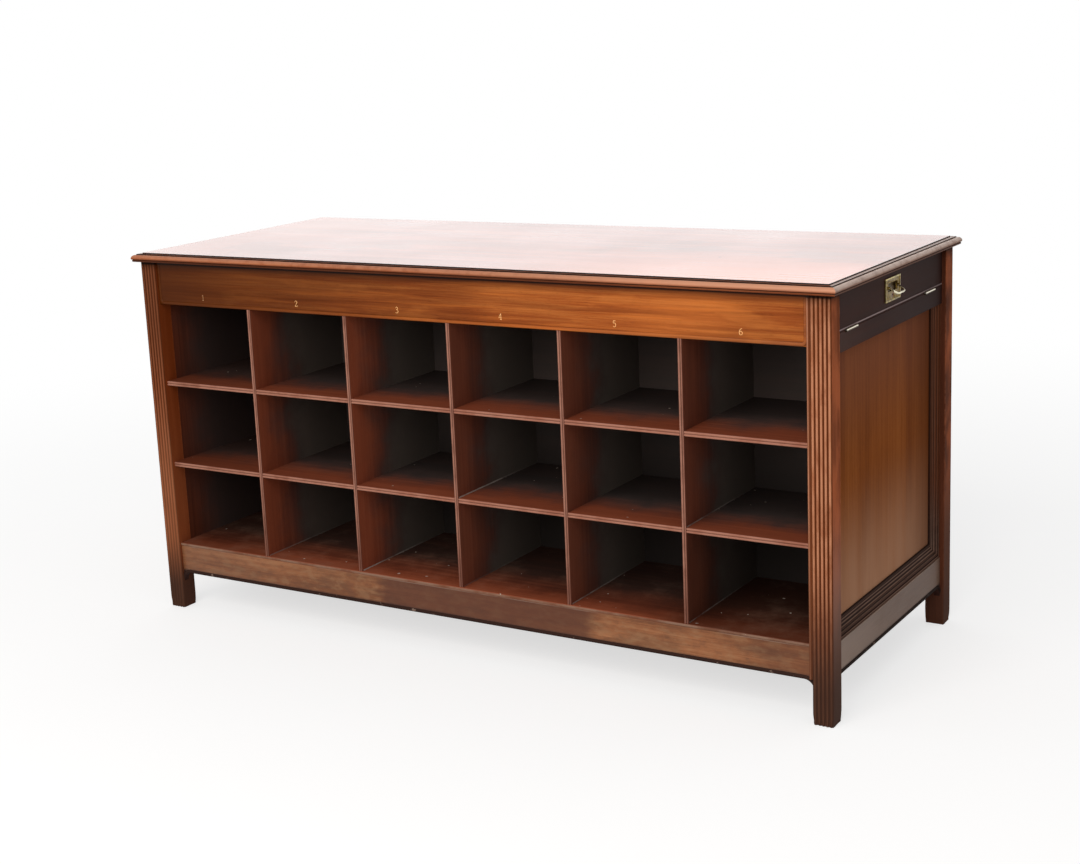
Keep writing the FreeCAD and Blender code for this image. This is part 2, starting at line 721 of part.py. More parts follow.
def shelves():
    pitch = CELL_WIDE + S.divider_thick
    half = S.shelf_thick / 2
    front = HALF_DEPTH - S.face_recess - S.shelf_back_set
    depth = CELL_DEEP - S.shelf_back_set
    for side_y, turn, word in LONG_SIDES:
        first = CELL_LEFT + CELL_WIDE / 2 if side_y < 0 else CELL_RIGHT - CELL_WIDE / 2
        for level, tier in ((SHELF_LOW, "lower"), (SHELF_HIGH, "upper")):
            body = piece(f"shelves_{word}_{tier}", (first, side_y * front, level - half), turn, several=True)
            section = sketch_on(body, "Section", "YZ_Plane")
            draw(section, [(back, -across, *rise) for across, back, *rise in double_beaded(S.shelf_thick, depth)])
            pad(body, "Board", section, CELL_WIDE, both_ways=True)
            reach = CELL_WIDE / 2 + S.housing - S.housing_spare
            stop = S.housing_stop - S.shelf_back_set + S.housing_spare
            box(body, "Tongues", (-reach, reach), (stop, depth), (-half, half))
            repeat(body, "Row", "X_Axis", pitch, S.columns)
            node(body)


def linings():
    left = piece("lining_left", (CELL_LEFT - S.lining_thick, ZERO, S.floor_top))
    right = piece("lining_right", (CELL_RIGHT, ZERO, S.floor_top))
    tall = (ZERO, CELL_TOP - S.floor_top)
    depth = HALF_DEPTH - S.face_recess
    box(left, "Board", (ZERO, S.lining_thick), (-BAY_DEPTH, BAY_DEPTH), tall)
    box(right, "Board", (ZERO, S.cover_strip), (-depth, depth), tall)
    for level, word in ((SHELF_LOW, "Low"), (SHELF_HIGH, "High")):
        z = (level - S.shelf_thick - S.floor_top, level - S.floor_top)
        for side_y, name in ((-1, "Front"), (1, "Back")):
            y = (side_y * S.back_thick / 2, side_y * (depth - S.housing_stop))
            x = (S.lining_thick - S.housing, S.lining_thick)
            box(left, f"Housing{word}{name}", x, y, z, cut=True)
            box(right, f"Housing{word}{name}", (ZERO, S.housing), y, z, cut=True)
    node(left)
    node(right)


def floor():
    body = piece("floor_board", (ZERO, ZERO, FLOOR_UNDER))
    reach = END_FACE - S.end_rail_thick
    half_y = HALF_DEPTH - S.face_recess - S.lipping_wide
    box(body, "Board", (-reach, reach), (-half_y, half_y), (ZERO, S.floor_thick))
    node(body)
    lippings = []
    for side_y, turn, word in LONG_SIDES:
        lipping = piece(f"lipping_{word}", (ZERO, side_y * (HALF_DEPTH - S.face_recess), FLOOR_UNDER), turn)
        section = sketch_on(lipping, "Section", "YZ_Plane")
        draw(section, [
            (ZERO, ZERO),
            (S.lipping_wide, ZERO),
            (S.lipping_wide, S.floor_thick),
            (ZERO, S.floor_thick, S.lipping_nose),
        ])
        pad(lipping, "Board", section, 2 * BAY_LENGTH, both_ways=True)
        strip = (CELL_RIGHT, BAY_LENGTH) if side_y < 0 else (-BAY_LENGTH, -CELL_RIGHT)
        box(lipping, "StripNotch", strip, (-2 * S.lipping_nose, ZERO), (ZERO, S.floor_thick), cut=True)
        lippings.append(lipping)
    bundle("floor_lippings", lippings)


def centre_back():
    body = piece("centre_back", (ZERO, ZERO, S.floor_top))
    half = S.back_thick / 2
    box(body, "Board", (CELL_LEFT, CELL_RIGHT), (-half, half), (ZERO, CELL_TOP - S.floor_top))
    node(body)


def deck():
    """The board over the pigeonholes, notched round the posts."""
    body = piece("compartment_floor", (ZERO, ZERO, CELL_TOP))
    half_y = HALF_DEPTH - S.face_recess - S.frieze_thick
    reach = END_FACE - S.end_rail_thick
    outline = sketch_on(body, "Outline", "XY_Plane")
    draw(outline, [
        (-BAY_LENGTH, -half_y), (BAY_LENGTH, -half_y), (BAY_LENGTH, -BAY_DEPTH), (reach, -BAY_DEPTH),
        (reach, BAY_DEPTH), (BAY_LENGTH, BAY_DEPTH), (BAY_LENGTH, half_y), (-BAY_LENGTH, half_y),
        (-BAY_LENGTH, BAY_DEPTH), (-reach, BAY_DEPTH), (-reach, -BAY_DEPTH), (-BAY_LENGTH, -BAY_DEPTH),
    ])
    pad(body, "Board", outline, S.deck_thick)
    node(body)


def bearers():
    half_y = HALF_DEPTH - S.face_recess - S.rail_thick
    pitch = 2 * BAY_LENGTH / (S.bearers + 1)
    body = piece("floor_bearers", (-BAY_LENGTH + pitch, ZERO, FLOOR_UNDER - S.bearer_high), several=True)
    half = S.bearer_wide / 2
    box(body, "Bearer", (-half, half), (-half_y, half_y), (ZERO, S.bearer_high))
    repeat(body, "Row", "X_Axis", pitch, S.bearers)
    node(body)


def glue_blocks():
    pitch = 2 * BAY_LENGTH / S.blocks
    rows = []
    for side_y, turn, word in LONG_SIDES:
        inner = HALF_DEPTH - S.face_recess - S.frieze_thick
        first = side_y * (BAY_LENGTH - pitch / 2)
        body = piece(f"glue_blocks_{word}", (first, side_y * inner, UNDER_TOP), turn, several=True)
        section = sketch_on(body, "Section", "YZ_Plane")
        draw(section, [(ZERO, -S.block_side), (S.block_side, ZERO), (ZERO, ZERO)])
        pad(body, "Block", section, S.block_long, both_ways=True)
        repeat(body, "Row", "X_Axis", pitch, S.blocks)
        rows.append(body)
    bundle("glue_blocks", rows)


# ---------------------------------------------------------------- end panels and their mouldings

def end_panels():
    half = BAY_DEPTH + S.panel_groove - S.panel_spare
    low = FLOOR_UNDER - S.panel_groove + S.panel_spare
    high = END_RAIL_BOTTOM + S.panel_groove - S.panel_spare
    for side_x, turn, word in END_SIDES:
        body = piece(f"end_panel_{word}", end_place(side_x), turn)
        box(body, "Board", (-half, half), (S.panel_recess, S.panel_recess + S.panel_thick), (low, high))
        node(body)


# Section of the panel moulding, frame side first: eighths of its width inwards, share of its height over the panel,
# and the rise of the curve to the next corner in eighths of its width. A bead, a hollow, two beads and a fillet.
MOULDING_EIGHTHS = 8
MOULDING_SHAPE = [
    (0.0, 0.0, 0.0),
    (7.65, 0.0, 0.0),
    (7.65, 0.12, 0.3),
    (6.9, 0.34, 0.0),
    (6.6, 0.26, -0.21),
    (3.4, 0.55, 0.0),
    (3.2, 0.5, 0.3),
    (2.2, 0.72, 0.0),
    (2.1, 0.64, 0.3),
    (1.1, 0.86, 0.0),
    (1.0, 0.78, 0.0),
    (1.0, 1.0, 0.0),
    (0.0, 1.0, 0.0),
]


def moulding_section():
    """Corners of the panel moulding: (from the frame inwards, over the panel), with the rises of its curves."""
    eighth = S.moulding_wide / MOULDING_EIGHTHS
    return [
        (eighth * inwards, S.moulding_high * over) + ((eighth * rise,) if rise else ())
        for inwards, over, rise in MOULDING_SHAPE
    ]


def moulding_bar(label, side_x, turn, kind):
    """One bar of the moulding: the lower one, or an upright one on the left or the right of the panel."""
    body = piece(label, end_place(side_x), turn)
    low = FLOOR_UNDER
    high = END_RAIL_BOTTOM
    wide = S.moulding_wide
    beyond = S.beyond
    if kind == 0:
        section = sketch_on(body, "Section", "YZ_Plane")
        corners = [(S.panel_recess - over, low + inwards, *rise) for inwards, over, *rise in moulding_section()]
        draw(section, corners)
        pad(body, "Bar", section, 2 * BAY_DEPTH, both_ways=True)
        spare = [(1, "Right"), (-1, "Left")]
    else:
        section = sketch_on(body, "Section", "XY_Plane", low)
        edge = kind * BAY_DEPTH
        corners = [(edge - kind * inwards, S.panel_recess - over, *rise)
                   for inwards, over, *rise in moulding_section()]
        draw(section, corners if kind > 0 else turned_over(corners))
        pad(body, "Bar", section, high - low)
        spare = [(kind, "Mitre")]
    for hand, name in spare:
        edge = hand * (BAY_DEPTH + beyond)
        inner = hand * (BAY_DEPTH - wide - beyond)
        level = low + wide + beyond
        if kind == 0:
            corners = [(edge, low - beyond), (edge, level), (inner, level)]
        else:
            corners = [(edge, low - beyond), (inner, level), (inner, low - beyond)]
        mitre = sketch_on(body, name + "Outline", "XZ_Plane", beyond)
        draw(mitre, corners if hand > 0 else corners[::-1])
        cut_through(body, name, mitre, S.panel_recess + 2 * beyond)
    return body


def turned_over(corners):
    """The same outline run the other way round, each rise kept on its own arc."""
    points = [corner[:2] for corner in corners]
    rises = [corner[2:] for corner in corners]
    count = len(corners)
    order = [(-index) % count for index in range(count)]
    return [points[index] + rises[(index - 1) % count] for index in order]


def panel_mouldings():
    for side_x, turn, word in END_SIDES:
        bars = [moulding_bar(f"moulding_{word}_{kind + 2}", side_x, turn, kind) for kind in (-1, 0, 1)]
        bundle(f"panel_moulding_{word}", bars)


# ---------------------------------------------------------------- flap, hinges and lock

BOLT_IN = S.flap_thick - S.lock_thick / 2
BOLT_TOP = FLAP_HIGH - S.lock_top_gap
STRIKE_DEEP = BOLT_TOP + S.bolt_throw + S.strike_spare - FLAP_HIGH - S.flap_gap


def bolt_plan(margin):
    """Ends of the bolt along X and Y, in the case's own directions, with a margin all round."""
    x = END_FACE - BOLT_IN
    half_x = S.bolt_thick / 2 + margin
    half_y = S.bolt_long / 2 + margin
    return (x - half_x, x + half_x), (-half_y, half_y)


def flap_place(height):
    return (END_FACE, ZERO, height)


def hinge_seats(body, level, side):
    """Mortises for the leaves and clearance for the knuckles; side is 1 where the wood lies over the joint."""
    long_half = S.hinge_long / 2 + S.knuckle_gap
    for hand, word in ((-1, "Left"), (1, "Right")):
        middle = hand * S.hinge_place
        x = (middle - long_half, middle + long_half)
        y = (-S.hinge_axis_out, S.hinge_leaf_wide - S.hinge_axis_out)
        box(body, f"LeafSeat{word}", x, y, (level, level + side * S.hinge_leaf), cut=True)
        start = (x[0], -S.hinge_axis_out, level - side * S.flap_gap / 2)
        rod(body, f"Knuckles{word}", "x", start, 2 * long_half, S.barrel_radius + S.barrel_gap, cut=True)
        first = middle - (S.leaf_screws - 1) / 2 * S.leaf_screw_pitch
        for number in range(int(S.leaf_screws.value)):
            deep = S.hinge_leaf + S.screw_deep + S.screw_end_gap
            foot = level if side > 0 else level - deep
            place = (first + number * S.leaf_screw_pitch, S.leaf_screw_in - S.hinge_axis_out, foot)
            rod(body, f"Screw{word}{number}", "z", place, deep, S.screw + S.screw_gap, cut=True)


def flap():
    half = BAY_DEPTH - S.flap_gap
    body = piece("flap", flap_place(FLAP_LOW), 90)
    section = sketch_on(body, "Section", "YZ_Plane")
    draw(section, [
        (ZERO, ZERO),
        (S.flap_thick, ZERO),
        (S.flap_thick, FLAP_HIGH - S.flap_bevel),
        (ZERO, FLAP_HIGH),
    ])
    pad(body, "Board", section, 2 * half, both_ways=True)
    box(body, "Quirk", (-half, half), (ZERO, S.quirk), (S.flap_bead_up, S.flap_bead_up + S.quirk), cut=True)
    hinge_seats(body, ZERO, 1)
    # seat of the finger cup
    up = PLATE_MIDDLE - FLAP_LOW
    half_cup = S.cup_long / 2
    box(body, "CupSeat", (-half_cup, half_cup), (ZERO, S.cup_deep), (up + S.cup_low, up + S.cup_high), cut=True)
    # mortise of the lock, and the way in for the key
    half_lock = S.lock_long / 2
    inner = (S.flap_thick - S.lock_thick, S.flap_thick)
    box(body, "LockSeat", (-half_lock, half_lock), inner, (S.lock_low, FLAP_HIGH), cut=True)
    key = (ZERO, ZERO, up - S.keyhole_down)
    rod(body, "KeyWay", "y", key, S.flap_thick - S.lock_thick, S.keyhole_radius, cut=True)
    slot = S.keyhole_slot / 2
    z = (up - S.keyhole_down - S.keyhole_slot_long, up - S.keyhole_down)
    box(body, "KeySlot", (-slot, slot), (ZERO, S.flap_thick - S.lock_thick), z, cut=True)
    for x, z, name in plate_screw_places():
        rod(body, name, "y", (x, ZERO, up + z), S.screw_deep + S.screw_end_gap, S.screw + S.screw_gap, cut=True)
    node(body)


def stops():
    """Two strips on the posts that the closed flap comes to rest against."""
    members = []
    x = END_FACE - S.flap_thick - S.stop_gap
    for hand in (-1, 1):
        body = piece(f"stop_{hand + 1}", (x - S.stop_side, hand * BAY_DEPTH, FLAP_LOW))
        y = (ZERO, -hand * S.stop_side)
        box(body, "Strip", (ZERO, S.stop_side), y, (ZERO, UNDER_TOP - FLAP_LOW))
        members.append(body)
    bundle("flap_stops", members)


def leaf(label, hand, moving):
    """Half of a hinge: a leaf with its own knuckles, notched for the knuckles of the other half."""
    body = piece(label, (END_FACE + S.hinge_axis_out, hand * S.hinge_place, HINGE_LINE), 90)
    half = S.hinge_long / 2
    side = 1 if moving else -1
    near = side * S.flap_gap / 2
    far = near + side * S.hinge_leaf
    box(body, "Leaf", (-half, half), (ZERO, S.hinge_leaf_wide), (near, far))
    step = S.hinge_long / S.knuckles
    own = [number for number in range(int(S.knuckles.value)) if (number % 2 == 1) == moving]
    for number in range(int(S.knuckles.value)):
        start = -half + number * step
        if number not in own:
            clear = S.barrel_radius + S.barrel_gap
            place = (start - S.knuckle_gap / 2, ZERO, ZERO)
            rod(body, f"Notch{number}", "x", place, step + S.knuckle_gap, clear, cut=True)
    for number in own:
        place = (-half + number * step + S.knuckle_gap / 2, ZERO, ZERO)
        rod(body, f"Knuckle{number}", "x", place, step - S.knuckle_gap, S.barrel_radius)
    rod(body, "Bore", "x", (-half, ZERO, ZERO), S.hinge_long, S.pin_radius + S.running_gap, cut=True)
    first = -((S.leaf_screws - 1) / 2 * S.leaf_screw_pitch)
    for number in range(int(S.leaf_screws.value)):
        place = (first + number * S.leaf_screw_pitch, S.leaf_screw_in, near if moving else far)
        rod(body, f"Screw{number}", "z", place, S.hinge_leaf, S.screw + S.screw_gap, cut=True)
    return body


def leaf_screws(label, hand, moving):
    """The screws of one leaf, flush with it."""
    first = -((S.leaf_screws - 1) / 2 * S.leaf_screw_pitch)
    long = S.hinge_leaf + S.screw_deep
    level = FLAP_LOW if moving else END_RAIL_TOP - long
    place = (END_FACE + S.hinge_axis_out - S.leaf_screw_in, hand * S.hinge_place + first, level)
    body = piece(label, place, several=True)
    rod(body, "Screw", "z", (ZERO, ZERO, ZERO), long, S.screw)
    repeat(body, "Row", "Y_Axis", S.leaf_screw_pitch, S.leaf_screws)
    return body


def hinges():
    hands = ((-1, "front"), (1, "back"))
    bundle("hinge_leaves_fixed", [leaf(f"fixed_leaf_{word}", hand, False) for hand, word in hands])
    bundle("hinge_leaves_moving", [leaf(f"moving_leaf_{word}", hand, True) for hand, word in hands])
    pins = []
    for hand, word in hands:
        place = (END_FACE + S.hinge_axis_out, hand * S.hinge_place - S.hinge_long / 2, HINGE_LINE)
        body = piece(f"hinge_pin_{word}", place)
        rod(body, "Pin", "y", (ZERO, ZERO, ZERO), S.hinge_long, S.pin_radius)
        pins.append(body)
    bundle("hinge_pins", pins)
    bundle("rail_screws", [leaf_screws(f"rail_screws_{word}", hand, False) for hand, word in hands])
    leaf_sets = [leaf_screws(f"flap_screws_{word}", hand, True) for hand, word in hands]
    bundle("flap_screws", leaf_sets + plate_screws())


def plate_screw_places():
    """The four corners of the pull plate where its screws sit, from its middle."""
    x = S.plate_long / 2 - S.plate_screw_in
    z = S.plate_high / 2 - S.plate_screw_in
    return [(hand * x, way * z, f"PlateScrew{hand + 1}{way + 1}") for hand in (-1, 1) for way in (-1, 1)]


def pull_plate():
    body = piece("pull_plate", flap_place(PLATE_MIDDLE), 90)
    half_x = S.plate_long / 2
    half_z = S.plate_high / 2
    front = S.plate_thick + S.plate_rim_rise
    box(body, "Plate", (-half_x, half_x), (-front, ZERO), (-half_z, half_z))
    x = half_x - S.plate_rim
    z = half_z - S.plate_rim
    box(body, "Field", (-x, x), (-front, -S.plate_thick), (-z, z), cut=True)
    # the finger cup behind the plate
    cup = S.cup_long / 2
    wall = S.cup_wall
    box(body, "Cup", (-cup, cup), (ZERO, S.cup_deep), (S.cup_low, S.cup_high))
    inside = (S.cup_low + wall, S.cup_high - wall)
    box(body, "CupInside", (wall - cup, cup - wall), (-S.plate_thick, S.cup_deep - wall), inside, cut=True)
    # ears for the bail
    near = (S.bail_wide + S.bail_bar) / 2 + S.ear_gap
    z = (S.bail_up - S.ear_half, S.bail_up + S.ear_half)
    for hand, name in ((-1, "EarLeft"), (1, "EarRight")):
        x = (hand * near, hand * (near + S.ear_thick))
        box(body, name, x, (-(S.bail_out + S.ear_half), -S.plate_thick / 2), z)
    reach = near + S.ear_thick
    start = (-reach, -S.bail_out, S.bail_up)
    rod(body, "BailBore", "x", start, 2 * reach, S.bail_bar / 2 + S.running_gap, cut=True)
    key = (ZERO, -front, -S.keyhole_down)
    rod(body, "Keyhole", "y", key, front, S.keyhole_radius, cut=True)
    slot = S.keyhole_slot / 2
    z = (-(S.keyhole_down + S.keyhole_slot_long), -S.keyhole_down)
    box(body, "KeySlot", (-slot, slot), (-front, ZERO), z, cut=True)
    for x, z, name in plate_screw_places():
        place = (x, -S.plate_thick, z)
        rod(body, name, "y", place, S.plate_thick, S.screw + S.screw_gap, cut=True)
    node(body)


def plate_screws():
    """Screws through the corners of the pull plate into the flap."""
    place = flap_place(PLATE_MIDDLE)
    screws = []
    for x, z, name in plate_screw_places():
        body = piece(name, place, 90)
        rod(body, "Screw", "y", (x, -S.plate_thick, z), S.plate_thick + S.screw_deep, S.screw)
        screws.append(body)
    return screws


def bail():
    """The bail hangs from its two arms; it is modelled hanging and set at its tilt by its placement."""
    place = (END_FACE + S.bail_out, ZERO, PLATE_MIDDLE + S.bail_up)
    body = piece("bail", place, 90, -S.bail_tilt)
    half = S.bail_wide / 2
    bend = S.bail_corner * (1 - math.sqrt(0.5))
    turn_at = S.bail_reach - S.bail_corner
    spine = sketch_on(body, "Spine", "XZ_Plane")
    draw(spine, [
        (-half, ZERO),
        (-half, -turn_at, bend),
        (-half + S.bail_corner, -S.bail_reach),
        (half - S.bail_corner, -S.bail_reach, bend),
        (half, -turn_at),
        (half, ZERO),
    ], closed=False)
    bar = sketch_on(body, "Bar", "XY_Plane")
    side = S.bail_bar / 2
    draw(bar, [(-half - side, -side), (side - half, -side), (side - half, side), (-half - side, side)])
    grip = body.newObject("PartDesign::AdditivePipe", "Grip")
    grip.Profile = bar
    grip.Spine = spine
    grip.Transition = "Transformed"
    long = S.bail_bar + S.ear_gap + S.ear_thick
    for start, name in ((side - half - long, "TrunnionLeft"), (half - side, "TrunnionRight")):
        rod(body, name, "x", (start, ZERO, ZERO), long, side)
    node(body)


def lock():
    half = S.lock_long / 2
    y = (S.flap_thick - S.lock_thick, S.flap_thick)
    case = piece("lock_case", flap_place(FLAP_LOW), 90)
    box(case, "Case", (-half, half), y, (S.lock_low, BOLT_TOP))
    slot_x = S.bolt_long / 2 + S.bolt_gap
    slot_y = S.bolt_thick / 2 + S.bolt_gap
    bolt_foot = BOLT_TOP - S.bolt_high
    z = (bolt_foot - S.bolt_gap, BOLT_TOP)
    box(case, "BoltWay", (-slot_x, slot_x), (BOLT_IN - slot_y, BOLT_IN + slot_y), z, cut=True)
    node(case)
    bolt = piece("lock_bolt", flap_place(FLAP_LOW + bolt_foot), 90)
    x = (-(S.bolt_long / 2), S.bolt_long / 2)
    box(bolt, "Bolt", x, (BOLT_IN - S.bolt_thick / 2, BOLT_IN + S.bolt_thick / 2), (ZERO, S.bolt_high))
    node(bolt)
    strike = piece("strike_plate", (ZERO, ZERO, UNDER_TOP))
    x, y = bolt_plan(S.strike_gap + S.strike_margin)
    box(strike, "Plate", x, y, (ZERO, S.strike_thick))
    x, y = bolt_plan(S.strike_gap)
    box(strike, "Slot", x, y, (ZERO, S.strike_thick), cut=True)
    node(strike)


# ---------------------------------------------------------------- the whole

def check():
    """Stops before anything is written if a feature failed or a sub-part has no sound shape."""
    for thing in DOC.Objects:
        if "Invalid" in thing.State or "Error" in thing.State:
            owner = thing.getParentGeoFeatureGroup()
            raise RuntimeError(f"{thing.Label} of {owner.Label if owner else 'the document'} failed: {thing.State}")
    for thing in NODES:
        if thing.Shape.isNull() or not thing.Shape.isValid() or not thing.Shape.Solids:
            raise RuntimeError(f"{thing.Label} has no valid shape")


def main():
    top()
    posts()
    cover_strips()
    rails()
    brackets()
    beads()
    dividers()
    shelves()
    linings()
    floor()
    centre_back()
    deck()
    bearers()
    glue_blocks()
    end_panels()
    panel_mouldings()
    flap()
    stops()
    hinges()
    pull_plate()
    bail()
    lock()
    DOC.recompute()
    check()
    os.makedirs("parts", exist_ok=True)
    for thing in NODES:
        thing.Shape.exportStep(f"parts/{thing.Label}.step")
        bounds = thing.Shape.BoundBox
        print(f"{thing.Label}: {len(thing.Shape.Solids)} solid(s), {thing.Shape.Volume / 1000:.1f} cm3, "
              f"X {bounds.XMin:.1f} {bounds.XMax:.1f}, Y {bounds.YMin:.1f} {bounds.YMax:.1f}, "
              f"Z {bounds.ZMin:.1f} {bounds.ZMax:.1f}")
    print(f"{len(NODES)} nodes")


main()
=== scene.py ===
import math
from collections import namedtuple
from functools import partial

import bmesh
import bpy
from mathutils import Matrix, Vector, noise


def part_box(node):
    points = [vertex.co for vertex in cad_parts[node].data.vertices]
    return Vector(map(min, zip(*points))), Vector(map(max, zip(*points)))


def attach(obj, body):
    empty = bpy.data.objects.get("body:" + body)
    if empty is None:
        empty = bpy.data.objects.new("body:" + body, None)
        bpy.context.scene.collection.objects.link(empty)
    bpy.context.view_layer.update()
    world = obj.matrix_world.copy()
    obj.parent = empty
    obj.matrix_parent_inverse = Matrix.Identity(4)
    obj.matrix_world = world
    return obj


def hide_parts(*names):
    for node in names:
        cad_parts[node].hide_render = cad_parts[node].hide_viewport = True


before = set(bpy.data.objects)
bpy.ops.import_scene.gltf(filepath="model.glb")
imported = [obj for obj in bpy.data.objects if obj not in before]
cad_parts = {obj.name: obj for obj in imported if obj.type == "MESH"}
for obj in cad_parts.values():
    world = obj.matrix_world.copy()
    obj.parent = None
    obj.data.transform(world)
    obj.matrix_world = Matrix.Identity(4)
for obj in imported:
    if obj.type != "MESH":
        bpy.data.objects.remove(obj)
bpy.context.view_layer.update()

# A double-sided pigeonhole sorter in old mahogany. Metres; X along the length, Y to the back, Z up.

MM = 0.001

# In degrees: edges that turn by more than these stay sharp or are eased, and by less than the last are flat.
SHARP_TURN = 35
EASED_TURN = 40
FLAT_TURN = 1

# Corners nearer than this are one.
SAME_PLACE = 1e-6


# ---------------------------------------------------------------- objects and meshes

def linked(name, data):
    """A new object in the scene."""
    made = bpy.data.objects.new(name, data)
    bpy.context.scene.collection.objects.link(made)
    return made


def smooth(mesh):
    """Shades a mesh smooth between its sharp edges."""
    mesh.polygons.foreach_set("use_smooth", [True] * len(mesh.polygons))
    mesh.set_sharp_from_angle(angle=math.radians(SHARP_TURN))
    return mesh


def settled(seat):
    """The mesh that an object's modifiers make. The object itself goes."""
    mesh = bpy.data.meshes.new_from_object(seat.evaluated_get(bpy.context.evaluated_depsgraph_get()))
    bpy.data.objects.remove(seat)
    return smooth(mesh)


def add_piece(name, mesh, material, body):
    """Links a finished mesh as a piece that rides on a body."""
    mesh.materials.clear()
    mesh.materials.append(material)
    made = linked(name, mesh)
    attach(made, body)
    return made


# ---------------------------------------------------------------- view and light

CAMERA_PLACE = (2.1864, -3.5193, 1.4572)
CAMERA_YAW = 32.829
CAMERA_PITCH = 12.528
CAMERA_ROLL = -2.695
CAMERA_SENSOR = 36
CAMERA_LENS = 59.02
CAMERA_SHIFT = (0.0316, -0.0290)
CAMERA_REACH = 100


def camera():
    """A still camera at standing height, turned to the corner with the flap."""
    yaw, pitch, roll = (math.radians(angle) for angle in (CAMERA_YAW, CAMERA_PITCH, CAMERA_ROLL))
    turn = (Matrix.Rotation(yaw, 4, "Z") @ Matrix.Rotation(math.pi / 2 - pitch, 4, "X")
            @ Matrix.Rotation(roll, 4, "Z"))
    data = bpy.data.cameras.new("camera")
    data.sensor_width = CAMERA_SENSOR
    data.lens = CAMERA_LENS
    data.shift_x, data.shift_y = CAMERA_SHIFT
    data.clip_end = CAMERA_REACH
    seat = linked("camera", data)
    seat.matrix_world = Matrix.Translation(CAMERA_PLACE) @ turn
    bpy.context.scene.camera = seat


# The two soft lights: name, place, the point each looks at, width and height, watts, and colour.
LIGHTS = (
    ("key", (0.7, -4.5, 3.3), (0, 0, 0.5), (4.4, 3.4), 146, (1.0, 0.97, 0.93)),
    ("back", (-3.2, 6.0, 2.2), (-0.3, 0, 0.9), (9.0, 3.4), 62, (1, 1, 1)),
)


def softbox(name, place, aim, size, power, colour):
    """A square soft light that looks at a point."""
    data = bpy.data.lights.new(name, "AREA")
    data.shape = "RECTANGLE"
    data.size, data.size_y = size
    data.energy = power
    data.color = colour
    lamp = linked(name, data)
    lamp.location = place
    lamp.rotation_euler = (Vector(aim) - Vector(place)).to_track_quat("-Z", "Y").to_euler()
    lamp.visible_camera = False


# ---------------------------------------------------------------- finishes as expressions

def maths(operation, swapped=False):
    """A method of a thread that adds one maths node."""
    def method(self, *others):
        values = (*others, self) if swapped else (self, *others)
        return self.loom.node("ShaderNodeMath", dict(enumerate(values)), operation=operation)
    return method


class Thread:
    """One output of a node in a tree. Sums, products and the like of threads add their own nodes."""

    def __init__(self, loom, socket):
        self.loom = loom
        self.socket = socket

    def twin(self, output):
        """Another output of the same node."""
        return Thread(self.loom, self.socket.node.outputs[output])

    __add__ = maths("ADD")
    __radd__ = maths("ADD", swapped=True)
    __sub__ = maths("SUBTRACT")
    __rsub__ = maths("SUBTRACT", swapped=True)
    __mul__ = maths("MULTIPLY")
    __rmul__ = maths("MULTIPLY", swapped=True)
    __truediv__ = maths("DIVIDE")
    __abs__ = maths("ABSOLUTE")
    least = maths("MINIMUM")
    most = maths("MAXIMUM")
    root = maths("SQRT")
    power = maths("POWER")

    # 1 where the value is under a limit, else 0.
    under = maths("LESS_THAN")

    # The distance along a repeat, from 0 to the pitch.
    repeated = maths("FLOORED_MODULO")

    def held(self, low=0.0, high=1.0):
        """Kept between two values."""
        return self.most(low).least(high)

    def inside(self, low, high):
        """How far the value lies inside two limits."""
        return (self - low).least(high - self)

    def rise(self, low, high):
        """0 below low, 1 above high, smooth between them."""
        inputs = {"Value": self, "From Min": low, "From Max": high}
        return self.loom.node("ShaderNodeMapRange", inputs, interpolation_type="SMOOTHSTEP")

    def fall(self, low, high):
        """1 below low, 0 above high, smooth between them."""
        return 1 - self.rise(low, high)

    def line(self, place, half_width, soft):
        """1 within half_width of a place, fading to 0 over a soft edge."""
        return abs(self - place).fall(half_width, half_width + soft)


class Loom:
    """A tree of nodes, of a finish, a shape or a world."""

    def __init__(self, tree):
        self.tree = tree
        self.tree.nodes.clear()

    def node(self, kind, inputs=None, output=0, stops=(), **settings):
        """Adds a node: its settings first, then the value or the link of each named or numbered socket."""
        made = self.tree.nodes.new(kind)
        for name, value in settings.items():
            setattr(made, name, value)
        if stops:
            self.set_stops(made.color_ramp, stops)
        for name, value in (inputs or {}).items():
            if isinstance(value, Thread):
                self.tree.links.new(value.socket, made.inputs[name])
            else:
                made.inputs[name].default_value = value
        return Thread(self, made.outputs[output])

    @staticmethod
    def set_stops(ramp, stops):
        while len(ramp.elements) < len(stops):
            ramp.elements.new(0.5)
        for element, (spot, colour) in zip(ramp.elements, stops):
            element.position = spot
            element.color = (*colour, 1)

    def end(self, kind, last):
        """Ends the tree in its output node."""
        self.tree.links.new(last.socket, self.tree.nodes.new(kind).inputs[0])

    def rays(self):
        """1 for what the camera sees, straight or mirrored, else 0."""
        ray = self.node("ShaderNodeLightPath", output="Is Camera Ray")
        return ray.most(ray.twin("Is Glossy Ray"))


SPECKS_PER_METRE = 90


